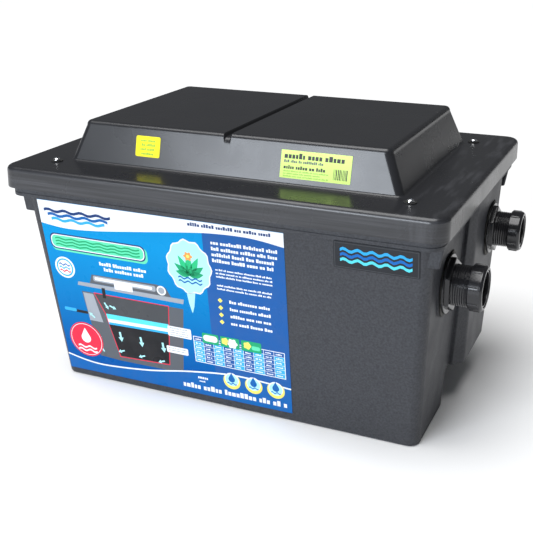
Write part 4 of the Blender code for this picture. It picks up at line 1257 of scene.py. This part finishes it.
def make_badge(looks):
    """Dark plate with a thin frame and a wave mark."""
    plate = Print("badge_plate", wall_half, BADGE_PLATE)
    plate.box(184.5, 304.0, 275.5, 315.0, "badge_print", 0, corner=1.5)
    for x0, x1, z0, z1 in ((186, 302.4, 276.8, 277.6), (186, 302.4, 312.6, 313.4),
                           (186, 186.8, 277.6, 312.6), (301.6, 302.4, 277.6, 312.6)):
        plate.box(x0, x1, z0, z1, "edge", 1)
    for k, key in enumerate(("sky", "blue", "cyan")):
        plate.wave(194, 294, 303 - 7.6 * k, 2.2, 20.0, 4.4, key, 2)
    plate.finish("name_badge", looks)


def make_stickers(looks):
    """Yellow and lime stickers, with dashes and a random bar pattern in place of print."""
    yellow = Print("yellow_sticker_print", dome_half)
    yellow.box(-149, -108, 386, 415.5, "sticker_yellow", 0, corner=2.5)
    for k in range(4):
        yellow.dashes(-141 + 2 * (k % 2), -116, 407.6 - 6.2 * k, 3.6, "lime_ink", 1, 71 + k)
    yellow.finish("yellow_sticker", looks)
    lime = Print("lime_sticker_print", dome_half)
    lime.box(86, 190, 379, 416.5, "sticker_lime", 0, corner=0.8)
    lime.dashes(91, 183, 405.5, 7.4, "black", 1, 81)
    lime.dashes(91, 150, 400.0, 3.6, "grey", 1, 82)
    lime.dashes(91, 158, 391.4, 4.8, "black", 1, 83)
    for k in range(3):
        lime.dashes(91, 158 - 12 * (k % 2), 387.6 - 3.4 * k, 2.0, "lime_ink", 1, 84 + k)
    draw = random.Random(90)
    x = 165.0
    while x < 184.5:
        wide = draw.choice((0.6, 0.9, 1.4))
        lime.box(x, x + wide, 383, 397, "black", 1)
        x += wide + draw.choice((0.7, 1.0, 1.3))
    lime.finish("rating_sticker", looks)


# ---- CAD nodes that stay

def dress_nodes(looks):
    """Gives each CAD node that is still shown the material of its slot."""
    for name, node in frame["nodes"].items():
        if node.hide_render:
            continue
        node.data.materials.clear()
        node.data.materials.append(looks[SLOT[name]])
        shade(node.data)


# ---- stage, light, camera

def make_floor():
    bm = bmesh.new()
    bmesh.ops.create_grid(bm, x_segments=8, y_segments=8, size=FLOOR_HALF)
    mesh = bpy.data.meshes.new("floor")
    bm.to_mesh(mesh)
    bm.free()
    floor = link("floor", mesh, floor_material())
    floor.location.z = -0.0003


def aim(obj, target, roll=0.0):
    direction = Vector(target) - obj.location
    turn = direction.to_track_quat("-Z", "Y").to_matrix().to_4x4()
    obj.rotation_euler = (turn @ Matrix.Rotation(radians(roll), 4, "Z")).to_euler()


def make_light():
    world = bpy.data.worlds.new("studio")
    world.use_nodes = True
    background = world.node_tree.nodes["Background"]
    background.inputs["Color"].default_value = SKY_COLOUR
    background.inputs["Strength"].default_value = SKY_STRENGTH
    bpy.context.scene.world = world
    box = bpy.data.lights.new("front_box", "AREA")
    box.shape = "RECTANGLE"
    box.size, box.size_y = SOFTBOX_SIZE
    box.energy = SOFTBOX_POWER
    box.color = SOFTBOX_COLOUR
    light = add("front_box", box)
    light.location = SOFTBOX_PLACE
    aim(light, SOFTBOX_TARGET)
    sun = bpy.data.lights.new("overhead", "SUN")
    sun.energy = SUN_STRENGTH
    sun.angle = radians(SUN_WIDTH)
    add("overhead", sun).rotation_euler = (radians(SUN_TILT[0]), radians(SUN_TILT[1]), 0.0)
    bpy.context.scene.view_settings.view_transform = "Standard"


def make_camera():
    data = bpy.data.cameras.new("camera")
    data.lens = CAMERA_LENS
    data.sensor_width = 36.0
    camera = add("camera", data)
    camera.location = CAMERA_PLACE
    aim(camera, CAMERA_TARGET, CAMERA_ROLL)
    bpy.context.scene.camera = camera


def main():
    looks = make_materials()
    make_tank(looks)
    make_lid(looks)
    make_screws(looks)
    make_connector("outlet", OUTLET, looks)
    make_connector("inlet", INLET, looks)
    make_soft_parts(looks)
    make_front_label(looks)
    make_badge(looks)
    make_stickers(looks)
    dress_nodes(looks)
    make_floor()
    make_light()
    make_camera()


main()
bpy.context.view_layer.update()
